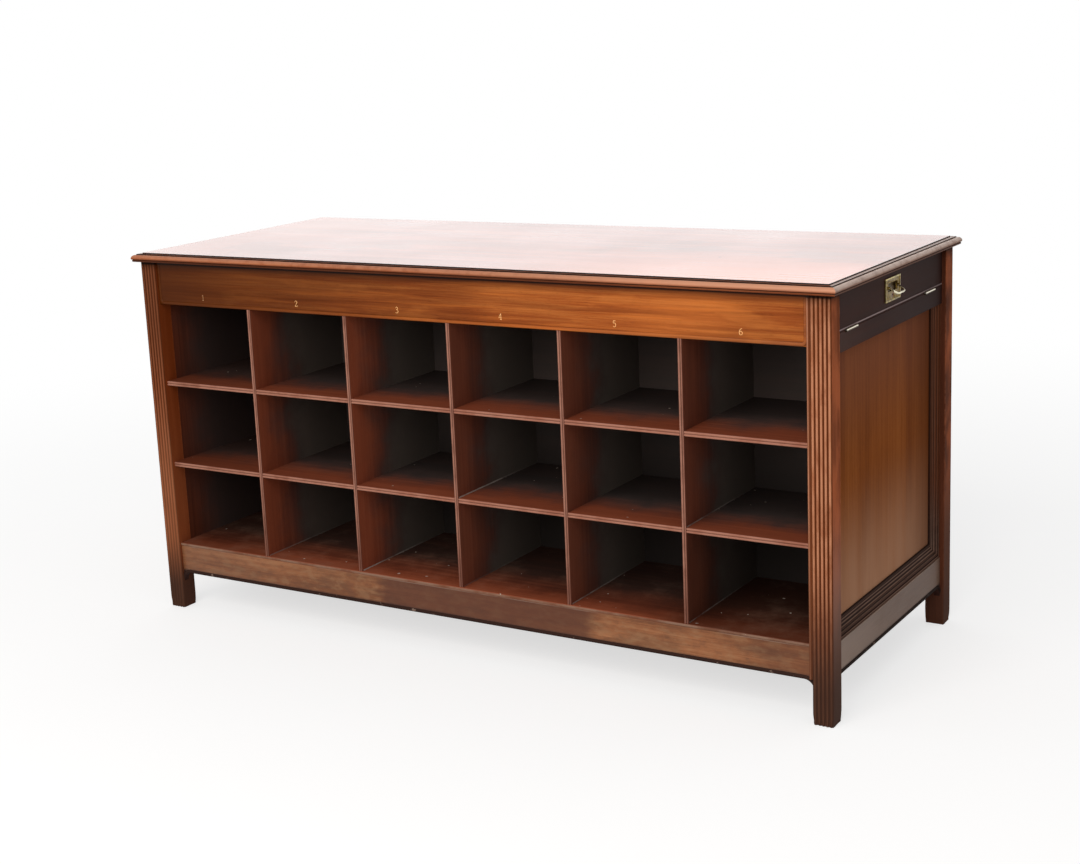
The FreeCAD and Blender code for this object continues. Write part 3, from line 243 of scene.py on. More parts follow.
class Finish(Loom):
    """A material under the brush: it holds the colour laid so far."""

    def __init__(self, name):
        self.material = bpy.data.materials.new(name)
        self.material.use_nodes = True
        super().__init__(self.material.node_tree)
        self.place = self.node("ShaderNodeTexCoord", output="Object")
        self.x = self.node("ShaderNodeSeparateXYZ", {0: self.place}, "X")
        self.y = self.x.twin("Y")
        self.z = self.x.twin("Z")
        self.colour = None

    def cloud(self, scale, detail=4, rough=0.6, shift=(0, 0, 0), twist=0.0):
        """Noise about 0.5 in the middle, with one count per metre or its own count along each axis."""
        if not isinstance(scale, tuple):
            scale = (scale, scale, scale)
        spot = self.node("ShaderNodeMapping", {"Vector": self.place, "Location": shift, "Scale": scale})
        return self.node("ShaderNodeTexNoise", {"Vector": spot, "Scale": 1.0, "Detail": detail, "Roughness": rough,
                                                "Distortion": twist})

    def specks(self, least):
        """Small separate dots where noise is at its highest."""
        return self.cloud(SPECKS_PER_METRE, 0.0, 0.5).rise(least, least + 0.02)

    def ramp(self, amount, stops):
        """The ground: tones that follow an amount."""
        self.colour = self.node("ShaderNodeValToRGB", {0: amount}, stops=stops)

    def blend(self, amount, tone):
        """Goes from the colour so far to a tone, as far as the amount says."""
        inputs = {0: amount, 6: self.colour, 7: (*tone, 1)}
        self.colour = self.node("ShaderNodeMix", inputs, 2, data_type="RGBA")

    def lay(self, amount, red, green, blue):
        """Lays a paint-card colour over the colour so far."""
        self.blend(amount, shade(red, green, blue))

    def bump(self, height, distance, strength):
        return self.node("ShaderNodeBump", {"Height": height, "Distance": distance, "Strength": strength})

    def close(self, sockets):
        """Ends the finish with its surface shader."""
        surface = self.node("ShaderNodeBsdfPrincipled", {"Base Color": self.colour, **sockets})
        self.end("ShaderNodeOutputMaterial", surface)
        return self.material


SOCKET_KINDS = {float: "NodeSocketFloat", int: "NodeSocketInt", tuple: "NodeSocketVector"}


class Recipe(Loom):
    """A shape grown by geometry nodes from named sizes."""

    def __init__(self, name, **sizes):
        super().__init__(bpy.data.node_groups.new(name, "GeometryNodeTree"))
        face = self.tree.interface
        face.new_socket("Geometry", in_out="OUTPUT", socket_type="NodeSocketGeometry")
        face.new_socket("Geometry", in_out="INPUT", socket_type="NodeSocketGeometry")
        face.new_socket("finish", in_out="INPUT", socket_type="NodeSocketMaterial")
        for size, value in sizes.items():
            face.new_socket(size, in_out="INPUT", socket_type=SOCKET_KINDS[type(value)]).default_value = value
        self.start = self.node("NodeGroupInput", output="Geometry")
        self.sizes = {size: self.start.twin(size) for size in sizes}

    def close(self, geometry):
        """Ends the tree."""
        real = self.node("GeometryNodeRealizeInstances", {0: geometry})
        inputs = {"Geometry": real, "Material": self.start.twin("finish")}
        self.end("NodeGroupOutput", self.node("GeometryNodeSetMaterial", inputs))

    def grow(self, name, material, body, slot, seeds=(), facings=(), **sizes):
        """Makes a piece by the recipe, on points that may each face their own way."""
        mesh = bpy.data.meshes.new(name)
        mesh.from_pydata(list(seeds), [], [])
        if facings:
            store = mesh.attributes.new("facing", "FLOAT_VECTOR", "POINT")
            for entry, facing in zip(store.data, facings):
                entry.vector = facing
        seat = linked(name, mesh)
        grower = seat.modifiers.new(name, "NODES")
        grower.node_group = self.tree
        sizes["finish"] = material
        for socket in self.tree.interface.items_tree:
            if socket.in_out == "INPUT" and socket.name in sizes:
                grower[socket.identifier] = sizes[socket.name]
        return add_piece(name, settled(seat), material, body)


# ---------------------------------------------------------------- mahogany

def shade(red, green, blue):
    """A colour written as on a paint card, 0 to 255, in the shader's own scale."""
    return tuple(((part / 255 + 0.055) / 1.055) ** 2.4 if part > 10 else part / 255 / 12.92
                 for part in (red, green, blue))


def times(tone, factor):
    """A tone made lighter or darker."""
    return tuple(min(1, part * factor) for part in tone)


def edge_distance(finish, low, high):
    """How far a point on a board's surface is from the board's nearest edge."""
    first, second, third = (thread.inside(low[axis], high[axis])
                            for axis, thread in enumerate((finish.x, finish.y, finish.z)))
    return first.least(second).most(first.most(second).least(third))


# A kind of polished wood: its dark, middle and light tones, its roughness, the strength of its figure, its wax
# coat, and its own gloss under the wax.
Kind = namedtuple("Kind", "tones rough figure coat coat_rough shine")

TOP = Kind(((130, 54, 38), (174, 84, 60), (204, 112, 82)), 0.3, 1.0, 0.5, 0.16, 0.5)
EDGE = Kind(((112, 52, 24), (160, 82, 44), (190, 112, 68)), 0.38, 0.8, 0.5, 0.3, 0.0)
# A paler, greyer copy of EDGE for the ends of the top: a painted reflection.
END_EDGE = Kind(((104, 64, 48), (146, 102, 82), (182, 142, 120)), 0.3, 0.9, 0.6, 0.28, 0.0)
CASE = Kind(((108, 48, 14), (166, 83, 33), (204, 120, 56)), 0.34, 1.0, 0.15, 0.16, 0.0)
POST = Kind(((106, 50, 24), (150, 80, 47), (178, 104, 64)), 0.42, 0.7, 0.05, 0.2, 0.0)
# A darker copy of POST for the back post at the flap end: painted shade.
SHADED_POST_WOOD = Kind(((80, 42, 28), (116, 66, 46), (140, 84, 60)), 0.42, 0.7, 0.05, 0.2, 0.0)
RAIL = Kind(((106, 62, 38), (156, 98, 61), (188, 128, 86)), 0.42, 0.8, 0.12, 0.25, 0.2)
# Greyer rail wood for the ends: a painted reflection of the floor.
END_RAIL = Kind(((90, 68, 56), (118, 93, 78), (142, 116, 98)), 0.5, 0.5, 0.05, 0.3, 0.12)
CELL = Kind(((84, 42, 30), (136, 70, 48), (170, 98, 70)), 0.45, 0.75, 0.25, 0.25, 0.0)
PANEL = Kind(((104, 50, 20), (146, 80, 34), (172, 102, 50)), 0.5, 0.6, 0.03, 0.3, 0.0)
MOULDING = Kind(((60, 40, 33), (84, 60, 50), (108, 78, 66)), 0.45, 0.6, 0.06, 0.3, 0.0)
DARK = Kind(((44, 24, 19), (57, 33, 27), (70, 42, 34)), 0.55, 0.5, 0.0, 0.3, 0.03)
PINE = Kind(((120, 88, 52), (160, 122, 78), (190, 152, 104)), 0.7, 1.0, 0.0, 0.5, 0.1)

# The grain: how often each layer repeats per metre across and along it, its detail, roughness and twist.
RIBBON = (14, 0.9, 3, 0.5, 0.35)
STREAK = (90, 2.2, 5, 0.6, 0.1)
FIBRE = (420, 7, 3, 0.65, 0.0)
PORES = (1500, 55, 2, 0.5, 0.0)
GRAIN_DEEP = 0.25 * MM


def wood(name, along, kind, seed=0.0, box=None, worn=0.35, dirt=0.5, paint=None, bare=None):
    """Mahogany with its grain along one axis. A box gives the board's corners, so that its edges are rubbed paler,
    worn and with a painted highlight, and grime lies beside them. Paint may change the colour last, and bare says
    where no wax coat lies."""
    finish = Finish(name)
    shift = (seed, seed * 0.7, seed * 1.3)

    def grain(across, length, detail, rough, twist):
        counts = tuple(length if axis == along else across for axis in "xyz")
        return finish.cloud(counts, detail, rough, shift, twist)

    ribbon, streak, fibre = grain(*RIBBON), grain(*STREAK), grain(*FIBRE)
    cloud = finish.cloud(2.6, 3, 0.5, shift)
    figure = (ribbon * 0.45 + streak * 0.4 + fibre * 0.25 - 0.05).rise(0.3, 0.72)
    dark, middle, light = (shade(*tone) for tone in kind.tones)
    finish.ramp(0.5 + (figure - 0.5) * kind.figure, [(0.0, dark), (0.5, middle), (1.0, light)])
    pore = grain(*PORES).rise(0.6, 0.7)
    finish.blend(pore * 0.4, times(dark, 0.35))
    finish.blend(cloud.rise(0.42, 0.68) * 0.35 * kind.figure, times(dark, 0.8))
    rough = kind.rough + (streak - 0.5) * 0.12 + (cloud - 0.5) * 0.18
    if box:
        edge = edge_distance(finish, *box)
        # Worn pale edges, which also serve as a painted highlight along each arris.
        rubbed = edge.fall(0.0006, 0.0034) * finish.cloud(60, 4, 0.6, shift).rise(0.38, 0.62) * worn
        finish.blend(rubbed, times(light, 1.9))
        grime = edge.fall(0.002, 0.02) * cloud.rise(0.35, 0.65) * dirt
        finish.blend(grime * 0.45, times(dark, 0.3))
        rough = rough + rubbed * 0.2
    if paint:
        paint(finish)
    height = fibre * 0.4 + streak * 0.6 - pore * 0.8
    return finish.close({
        "Roughness": rough.held(), "Specular IOR Level": kind.shine, "Coat Roughness": kind.coat_rough,
        "Coat Weight": (1 - bare(finish)) * kind.coat if bare else kind.coat,
        "Normal": finish.bump(height, GRAIN_DEEP, 0.35)})


# ---------------------------------------------------------------- wear and painted light by part
# Ranges are places and depths in metres, strengths are shares of 1, and colours are as on a paint card.

REED_RISE = 2.0 * MM
LIP_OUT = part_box("floor_lippings")[1][1]

# The levels of the foot of the lower and of the middle front pigeonholes.
FOOT_LEVELS = (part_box("floor_board")[1][2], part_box("shelves_front_lower")[1][2])

# Where painted shadow darkens the wood under the nosing, and where it is nearly black.
HEAD_DARK = (0.862, 0.886)
HEAD_BLACK = (0.8795, 0.8835)

# Dark wax and painted shade in the quirks beside the nosing.
WAX_AND_SHADE_BLACK = (26, 16, 12)
# Painted shade deep inside the pigeonholes.
DEEP_SHADE = (70, 69, 68)


def depth_from(finish, node, axis, outward):
    """How far a point lies behind a node's outermost plane on one side."""
    low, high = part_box(node)
    thread = (finish.x, finish.y, finish.z)[axis]
    return high[axis] - thread if outward > 0 else thread - low[axis]


def share_across(finish, node):
    """How far along a node's length in X a point lies, from 0 to 1."""
    low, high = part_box(node)
    return (finish.x - low[0]) / (high[0] - low[0])


def wandering(finish, depth, sway):
    """A depth whose lines of equal darkness sway in and out."""
    return depth + (finish.cloud(9, 5) - 0.5) * sway


# How a post has worn and is lit: its wood, how high its foot is stained and how much at least, and the tone and the
# strength
# of the grey low on its outer side: a painted reflection of the floor on the lit posts, painted shade on the shaded
# one.
PostWearAndLight = namedtuple("PostWearAndLight", "kind foot_high stain dirt dirty")

LEFT_POST = PostWearAndLight(POST, 0.2, 0.72, (146, 126, 117), 0.6)
RIGHT_POST = PostWearAndLight(POST, 0.36, 0.72, (146, 126, 117), 0.6)
# The back post at the flap end stands in shade: its darker wood and darker low side are painted shade.
SHADED_POST = PostWearAndLight(SHADED_POST_WOOD, 0.14, 0.3, (80, 56, 46), 0.85)


def reed_paint(finish, node, outward, wear):
    """Grooves hold dark wax and painted shade, the crowns of the reeds are rubbed and carry a painted highlight,
    most of all at the end with the flap, the posts at the far end have painted shade high up and painted light low
    down, and the outer side is redder, greying towards the floor as a painted reflection of the floor and as
    painted shade on the shaded post."""
    depth = depth_from(finish, node, 1, outward)
    behind_reeds = depth.rise(0.003, 0.004)
    fresh = finish.cloud((40, 40, 14))
    handled_and_lit = 0.15 + finish.x.rise(-0.9, 0.9) * 0.65
    # The crowns are worn pale and carry a painted highlight, stronger towards the flap end and higher up.
    crown = depth.fall(0.0006, 0.0019) * (0.28 + fresh.rise(0.3, 0.6) * 0.65)
    kept = 0.45 + finish.z.rise(0.12, 0.42) * 0.55
    finish.lay(crown * handled_and_lit * kept, 218, 152, 114)
    # Dark wax and painted shade in the grooves between the reeds.
    groove = depth.rise(0.0013, REED_RISE) * depth.fall(REED_RISE + 0.0004, REED_RISE + 0.0012)
    finish.lay(groove * 0.8, 74, 32, 10)
    # Painted shade high up and painted light low down on the posts at the far end.
    far = finish.x.fall(-0.95, 0.3)
    finish.lay(far * (0.05 + finish.z.rise(0.45, 0.75) * 0.45), 64, 34, 19)
    finish.lay(far * finish.z.fall(0.3, 0.6) * 0.25, 190, 128, 92)
    patch = finish.cloud((16, 16, 7), 4, 0.55)
    inside, outside = sorted(abs(corner[0]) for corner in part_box(node))
    inner = behind_reeds * abs(finish.x).fall(inside + 0.001, inside + 0.002)
    finish.lay(inner * 0.5, 140, 58, 14)
    side = behind_reeds * abs(finish.x).rise(outside - 0.002, outside - 0.001)
    finish.lay(side * patch.rise(0.35, 0.6) * 0.6, 204, 110, 66)
    # The outer side greys towards the floor: a painted reflection of the floor, and painted shade on the shaded
    # post.
    finish.lay(side * finish.z.fall(0.2, 0.5) * wear.dirty, *wear.dirt)
    shaded_head(finish)
    foot = finish.z.fall(0.05, wear.foot_high)
    finish.lay(foot * (wear.stain + patch * 0.3).held(), 66, 46, 38)


def shaded_head(finish):
    """Painted shadow under the nosing, nearly black closest to it."""
    finish.lay(finish.z.rise(*HEAD_DARK) * 0.6, 50, 26, 14)
    finish.lay(finish.z.rise(*HEAD_BLACK) * 0.9, 22, 13, 9)


# The two sunk lines beside the nosing: how far behind it each lies, half its width and its soft edge.
QUIRKS = ((10.3 * MM, 0.8 * MM, 0.5 * MM), (20.9 * MM, 0.9 * MM, 0.4 * MM))
FLAT_STARTS = (9.6 * MM, 10.2 * MM)

# How far under the face of the top the nosing is fullest, and where it meets its bead.
FULLEST_DOWN = 5.2 * MM
CREASE_DOWN = 15.6 * MM

# How the top's edge has worn and is lit on a side: its wood, the tone of the flat, darker on the long sides and a
# painted reflection on the ends, and the wax lost there, how black the quirks are, and the tone and the strength of
# the rubbed nosing's crown with its painted highlight.
EdgeWearAndLight = namedtuple("EdgeWearAndLight", "kind flat flat_bare black crown crowned")

LONG_WEAR_AND_LIGHT = EdgeWearAndLight(EDGE, (84, 60, 50), 0.5, 1.0, (222, 152, 114), 0.5)
END_WEAR_AND_LIGHT = EdgeWearAndLight(END_EDGE, (190, 166, 156), 0.1, 0.85, (218, 190, 174), 0.85)


def quirks(finish, node, axis, outward):
    """The two sunk lines beside the nosing, and the flat between them."""
    inward = depth_from(finish, node, axis, outward)
    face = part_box(node)[1][2]
    upper = finish.z.rise(face - 0.005, face - 0.003)
    first, second = (inward.line(*quirk) for quirk in QUIRKS)
    return first.most(second) * upper, inward.rise(*FLAT_STARTS) * upper


def nosing_bare(finish, node, axis, outward, wear):
    """No wax shines in the quirks, and less on the flat between them and under the nosing."""
    lines, flat = quirks(finish, node, axis, outward)
    low = (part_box(node)[1][2] - finish.z).rise(0.007, 0.011)
    return lines.most(flat * wear.flat_bare).most(low * 0.7)


def nosing_paint(finish, node, axis, outward, wear):
    """Dark wax and painted shade fill the quirks beside the nosing and the crease over its bead, painted shadow
    lies on the bead and under the nosing, and hands have rubbed the rest, with a painted highlight on the crown.
    """
    inward = depth_from(finish, node, axis, outward)
    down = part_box(node)[1][2] - finish.z
    lines, flat = quirks(finish, node, axis, outward)
    # The flat between the quirks: a darker tone on the long sides, a painted reflection on the ends.
    finish.lay(flat * 0.6, *wear.flat)
    finish.lay(lines * wear.black, *WAX_AND_SHADE_BLACK)
    # Painted shadow on the bead under the nosing, deeper towards the far end.
    bead = down.rise(0.0145, 0.0158) * (0.75 - finish.x.rise(-0.6, 0.8) * 0.45)
    finish.lay(bead, 52, 26, 14)
    # Painted shade in the crease between the nosing and its bead.
    crease = abs(down - CREASE_DOWN).fall(0.0004, 0.0012) * inward.rise(1.6 * MM, 2.4 * MM)
    finish.lay(crease, 34, 18, 11)
    chips = finish.cloud(46, 5, 0.65)
    handled_and_lit = finish.x.rise(-0.2, 0.8)
    # Painted shade on the underside of the nosing, lighter towards the flap end.
    low_edge = down.rise(0.0095, 0.0145) * (0.6 + chips.rise(0.5, 0.65) * 0.3) * (1 - handled_and_lit * 0.6)
    finish.lay(low_edge, 84, 44, 26)
    # The crown is worn and carries a painted highlight.
    crown = abs(down - FULLEST_DOWN).fall(0.003, 0.009) * (0.5 + chips.rise(0.3, 0.6) * 0.5)
    if axis == 1:
        # A painted highlight along the front nosing, growing towards the flap end.
        rubbed = handled_and_lit * down.fall(0.008, 0.016) * (1 - flat.most(lines))
        finish.lay(rubbed * 0.45, 250, 196, 164)
    finish.lay(crown * wear.crowned * (1 - flat), *wear.crown)


def rim_bare(finish, node, outward):
    """The front edges have lost their wax."""
    return depth_from(finish, node, 1, outward).fall(0.002, 0.004)


# Where the beads of a front edge end, going in, and where the groove behind them lies.
RIM = (0.0013, 0.0022)
RIM_GROOVE = ((0.0008, 0.0015), (0.0016, 0.0020))

# How much grey dust lies along the foot of each divider, in the lower row of pigeonholes and in the middle one.
DUST_LINES = {1: (0.35, 0.0), 2: (1.0, 0.0), 3: (0.15, 1.0), 4: (0.7, 0.0), 5: (0.45, 0.5)}


def divider_paint(finish, node, outward, dust):
    """A divider goes into painted shade inwards, its front edge has two rubbed beads with painted highlights, and
    dust lies along its foot.
    """
    depth, reach = darkened(finish, node, outward)
    dull = finish.x.rise(-0.25, 0.05) * reach.fall(0.06, 0.14)
    finish.lay(dull * 0.42, 62, 52, 46)
    # Deep inside, the painted shade turns grey.
    finish.lay(reach.rise(0.1, 0.2) * 0.85, 104, 96, 88)
    pigeonhole_end_shade(finish)
    finish.lay(depth.fall(*RIM), 104, 62, 50)
    across = share_across(finish, node)
    # Two pale lines along the front edge: wear, and painted highlights.
    beads = across.line(0.3, 0.16, 0.1).most(across.line(0.76, 0.08, 0.08) * 0.8)
    rim_wear_and_highlight(finish, depth, beads * (0.35 + finish.z.rise(0.18, 0.34) * 0.65))
    for level, amount in zip(FOOT_LEVELS, dust):
        if amount:
            foot = abs(finish.z - level - 0.0012).fall(0.0014, 0.0024)
            streak = finish.cloud((30, 12, 30), 3).rise(0.2, 0.6) * depth.fall(0.12, 0.3)
            finish.lay(foot * streak * amount * depth.rise(0.003, 0.006), 184, 172, 164)
    rim_groove(finish, depth)


def shelf_paint(finish, node, outward):
    """A shelf goes into painted shade inwards, its front edge is rubbed and has a painted highlight, and specks of
    dust lie on it.
    """
    depth, reach = darkened(finish, node, outward)
    # Deeper painted shade inside.
    finish.lay(reach.rise(0.08, 0.22) * 0.6, 40, 36, 34)
    pigeonhole_end_shade(finish)
    finish.lay(finish.specks(0.86) * depth.rise(0.01, 0.02) * 0.6, 214, 196, 180)
    rim_wear_and_highlight(finish, depth, 1.0)
    rim_groove(finish, depth)


def darkened(finish, node, outward):
    """A board of the pigeonholes is redder near its front and goes into painted shade inwards. Gives the depth from
    its front, plain and wandering.
    """
    depth = depth_from(finish, node, 1, outward)
    reach = wandering(finish, depth, 0.16)
    finish.lay(reach.fall(0.02, 0.14) * 0.55, 154, 80, 54)
    finish.lay(reach.rise(0.03, 0.17) * 0.85, *DEEP_SHADE)
    return depth, reach


def rim_wear_and_highlight(finish, depth, keen):
    """The front edge is rubbed pale, in patches, which also gives it a painted highlight."""
    patch = finish.cloud(22).rise(0.25, 0.6)
    finish.lay(depth.fall(*RIM) * keen * (0.45 + patch * 0.4), 188, 134, 114)


def rim_groove(finish, depth):
    """Dark wax and painted shade fill the groove behind a front edge's bead."""
    start, stop = RIM_GROOVE
    groove = depth.rise(*start) * depth.fall(*stop)
    finish.lay(groove * 0.5, 60, 34, 26)


def pigeonhole_end_shade(finish):
    """Painted shade: the pigeonholes away from the flap are the darkest, and the lowest one at the other end is
    dark.
    """
    lowest = finish.z.fall(0.32, 0.4) * finish.x.rise(0.45, 0.6)
    finish.lay(lowest * 0.4, 36, 24, 18)
    finish.lay(finish.x.fall(-0.85, -0.35) * 0.4, 56, 28, 18)


def lining_paint(finish):
    """The side linings go into painted shade inwards from both fronts."""
    finish.lay(0.3, 84, 40, 26)
    finish.lay(wandering(finish, abs(finish.y), 0.12).fall(0.18, 0.34) * 0.9, *DEEP_SHADE)
    pigeonhole_end_shade(finish)


def back_shade_paint(finish):
    """The centre board at the back of the pigeonholes is in painted shade, deepest low down."""
    finish.lay(0.92, 78, 75, 72)
    finish.lay(finish.z.fall(0.36, 0.5) * 0.8, 44, 40, 38)


def dusty_paint(finish, level):
    """Grey dust lies thinly on a floor's face, which is redder near both fronts and goes into painted shade
    inwards.
    """
    reach = wandering(finish, abs(finish.y), 0.14)
    finish.lay(reach.rise(0.26, 0.35) * 0.6, 172, 90, 60)
    # Painted shade inwards.
    finish.lay(reach.fall(0.17, 0.31) * 0.88, 52, 42, 38)
    pigeonhole_end_shade(finish)
    finish.lay(finish.x.rise(0.42, 0.6) * 0.4, 66, 34, 22)
    dust = finish.cloud(9, 5, 0.65).rise(0.45, 0.8) * 0.22
    on_top = abs(finish.z - level).fall(0.0015, 0.003)
    finish.lay(dust * on_top, 150, 124, 106)
    nose = abs(finish.y).rise(LIP_OUT - 0.0016, LIP_OUT - 0.0004)
    finish.lay(nose * 0.85, 120, 78, 56)
    finish.lay(nose * finish.cloud(14).rise(0.35, 0.6) * 0.6, 158, 128, 108)
    finish.lay(finish.specks(0.85) * on_top * 0.8, 220, 204, 190)


def frieze_paint(finish):
    """The frieze has painted shade towards the end away from the flap, a painted highlight in a band near the flap
    end, and a few pale patches.
    """
    patch = finish.cloud((6, 6, 22), 3, 0.5).rise(0.56, 0.68)
    finish.lay(patch * 0.3, 220, 130, 60)
    # A painted highlight in a band near the flap end.
    finish.lay(finish.x.line(0.58, 0.04, 0.14) * 0.28, 234, 134, 62)
    streak = finish.cloud((2.6, 2.6, 75))
    finish.lay(streak.rise(0.52, 0.66) * 0.35, 228, 128, 54)
    finish.lay(streak.fall(0.36, 0.48) * 0.3, 104, 46, 14)
    # Painted shade towards the end away from the flap.
    finish.lay(finish.x.fall(-1.0, 0.45) * 0.95, 74, 33, 5)
    shaded_head(finish)


def frieze_bead_paint(finish):
    """The bead round a frieze is rubbed on its crown, with a painted highlight there, and wax and painted shade
    darken the crease beside it.
    """
    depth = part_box("frieze_beads")[1][1] - abs(finish.y)
    # Wax and painted shade in the crease beside the bead.
    finish.lay(depth.rise(0.0012, 0.0022) * 0.55, 70, 32, 12)
    # The crown, rubbed and with a painted highlight.
    finish.lay(depth.fall(0.0003, 0.0012) * 0.4, 224, 124, 58)
    finish.lay(finish.x.rise(0.1, 0.8) * 0.55, 118, 72, 50)
    frieze_paint(finish)


def strip_paint(finish):
    """The strips beside the posts are darker than the frieze, with a pale line where hands have rubbed them, which
    is also a painted highlight.
    """
    finish.lay(0.75, 112, 64, 40)
    finish.lay(finish.z.fall(0.12, 0.4) * 0.5, 66, 42, 34)
    across = share_across(finish, "cover_strips")
    # Rubbed pale, and a painted highlight on the strip's crown.
    rubbed = across.line(0.3, 0.12, 0.2) * (0.25 + finish.z.rise(0.2, 0.5) * 0.75)
    finish.lay(rubbed * (0.35 + finish.cloud((30, 30, 8)) * 0.6), 222, 154, 118)
    shaded_head(finish)


def panel_paint(finish):
    """The foot of the panel is paler as a painted reflection of the floor, and the top under the rail has painted
    shade.
    """
    patch = finish.cloud((22, 22, 3), 4, 0.5)
    # A painted reflection of the floor on the foot of the panel.
    finish.lay(finish.z.fall(0.2, 0.5) * (0.45 + patch * 0.7), 184, 138, 108)
    # Painted shade at the top under the rail.
    finish.lay(finish.z.rise(0.5, 0.76) * 0.45, 124, 80, 68)
    finish.lay(finish.y.rise(0.08, 0.33) * 0.75, 82, 42, 23)


# Where the ridges of the moulding lie from its outer edge, and how far beside each of them its groove lies.
RIDGES = (0.004, 0.0125, 0.0205, 0.0275, 0.0345)
GROOVE_BESIDE = 0.0032
MOULDING_WIDE = 0.046


def moulding_paint(finish, node):
    """Dust greys the ridges of the moulding round the panel, dirt and painted shade fill the lines beside them, and
    painted shade darkens its inner edge.
    """
    low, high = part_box(node)
    up = finish.z - low[2]
    inwards = up.least(finish.y.inside(low[1], high[1]))
    upright = up.rise(0.03, 0.2)
    finish.lay(upright * 0.75, 104, 54, 28)
    dusty = (0.3 + finish.cloud(20).rise(0.25, 0.6) * 0.4) * (1 - upright * 0.7)
    for ridge in RIDGES:
        finish.lay(inwards.line(ridge, 0.0005, 0.0012) * dusty, 138, 108, 92)
        # Dirt and painted shade in the line beside each ridge.
        finish.lay(inwards.line(ridge + GROOVE_BESIDE, 0.0008, 0.001) * 0.75, 26, 16, 13)
    # Painted shade at the inner edge, against the panel.
    rim = inwards.rise(MOULDING_WIDE - 0.006, MOULDING_WIDE - 0.003)
    finish.lay(rim * 0.8, 30, 18, 14)


def rail_paint(finish, node):
    """The lower edge of a bottom rail is nearly black, its upper edge is paler with dust and a painted highlight,
    the rail at the flap end is paler towards its front as a painted reflection of the floor, and polish is uneven.
    """
    low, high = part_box(node)
    cloudy = finish.cloud((7, 7, 24), 5)
    finish.lay(cloudy.rise(0.48, 0.66) * 0.45, 98, 68, 48)
    if node in ("bottom_rail_front", "bottom_rail_back"):
        mottle = finish.cloud((26, 26, 60), 5)
        finish.lay(mottle.rise(0.46, 0.64) * 0.32, 166, 128, 92)
        finish.lay(mottle.fall(0.36, 0.46) * 0.25, 88, 60, 44)
    if node == "bottom_rail_right":
        # A painted reflection of the floor on the front of the rail at the flap end.
        finish.lay(finish.y.fall(-0.36, 0.05) * 0.62, 164, 142, 128)
    if node == "bottom_rail_front":
        along = finish.x + (cloudy - 0.5) * 0.12
        dull = along.line(0.055, 0.265, 0.04) * 0.76 + along.line(0.82, 0.05, 0.08) * 0.35
        finish.lay(dull, 90, 49, 33)
        finish.lay(finish.x.fall(-0.75, -0.45) * 0.35, 96, 64, 48)
    # Dust and a painted highlight along the upper edge.
    upper = (high[2] - finish.z).fall(0.0008, 0.0026)
    finish.lay(upper * cloudy.rise(0.4, 0.6) * 0.6, 160, 132, 114)
    # The lower edge is nearly black.
    dark_lower_edge = (finish.z - low[2]).fall(0.004, 0.009 + finish.cloud(30) * 0.009)
    finish.lay(dark_lower_edge * 0.92, 44, 31, 29)
    ends = finish.x.inside(low[0], high[0]).most(finish.y.inside(low[1], high[1]))
    finish.lay(ends.fall(0.001, 0.005) * 0.85, 40, 26, 20)


def rail_bead_paint(finish):
    """The bead under the bottom rails is nearly black, most of all at the ends, and chipped in places."""
    finish.lay(0.8, 48, 31, 27)
    finish.lay(abs(finish.x).rise(0.87, 0.88) * 0.8, 40, 31, 27)
    finish.lay(finish.cloud(40).rise(0.62, 0.68) * 0.7, 150, 126, 112)


# The places along X between which the flap's outer face begins.
FLAP_FACE = (0.886, 0.8895)


def flap_paint(finish):
    """The bead along the flap's lower edge has a pale grey painted highlight, and the flap darkens towards the
    back.
    """
    up = finish.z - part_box("flap")[0][2]
    # Painted highlight along the bead.
    bead = up.line(0.0042, 0.0009, 0.0007) * finish.x.rise(*FLAP_FACE)
    finish.lay(bead * 0.9, 176, 154, 152)
    finish.lay(finish.y.rise(-0.1, 0.3) * 0.4, 38, 26, 24)


def upper_rail_paint(finish):
    """The rail under the flap is darker towards the back."""
    finish.lay(finish.y.fall(-0.32, -0.1) * 0.4, 88, 62, 52)
    finish.lay(finish.y.rise(-0.2, 0.25) * 0.6, 36, 24, 23)


# Where small burns mark the top.
BURNS = ((-0.029, 0.0), (0.332, 0.084), (0.532, -0.078))


def top_paint(finish):
    """The top is redder where it is wiped, has small burns, and has painted shade along the low step to its
    moulding.
    """
    wiped = finish.x.rise(-0.2, 0.8) * finish.y.fall(-0.36, 0.1)
    finish.lay(wiped, 240, 128, 84)
    finish.lay(finish.x.fall(-0.8, -0.4) * 0.5, 200, 118, 92)
    stain = finish.cloud((3, 4, 3), 3).rise(0.56, 0.64)
    finish.lay(stain * 0.35, 120, 74, 66)
    for x, y in BURNS:
        across, along = finish.x - x, (finish.y - y) * 0.6
        burn = (across * across + along * along).root().fall(0.0015, 0.0035)
        finish.lay(burn * 0.8, 60, 32, 26)
    low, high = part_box("top_board")
    side = finish.x.inside(low[0], high[0]).least(finish.y.inside(low[1], high[1]))
    # Painted shade on the board's side, the low step to its moulding.
    finish.lay(side.fall(0.0003, 0.0009), 32, 20, 15)


def dress(node, material):
    """Gives a node its finish."""
    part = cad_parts[node]
    part.data.materials.clear()
    part.data.materials.append(material)


def dress_wood(node, along, kind, **habits):
    """Gives a node a finish of wood, under the node's own name."""
    dress(node, wood(node, along, kind, **habits))


def dress_board(node, along, kind, **habits):
    """Gives a node that is one plain board its wood, worn along the board's edges."""
    dress_wood(node, along, kind, box=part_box(node), **habits)


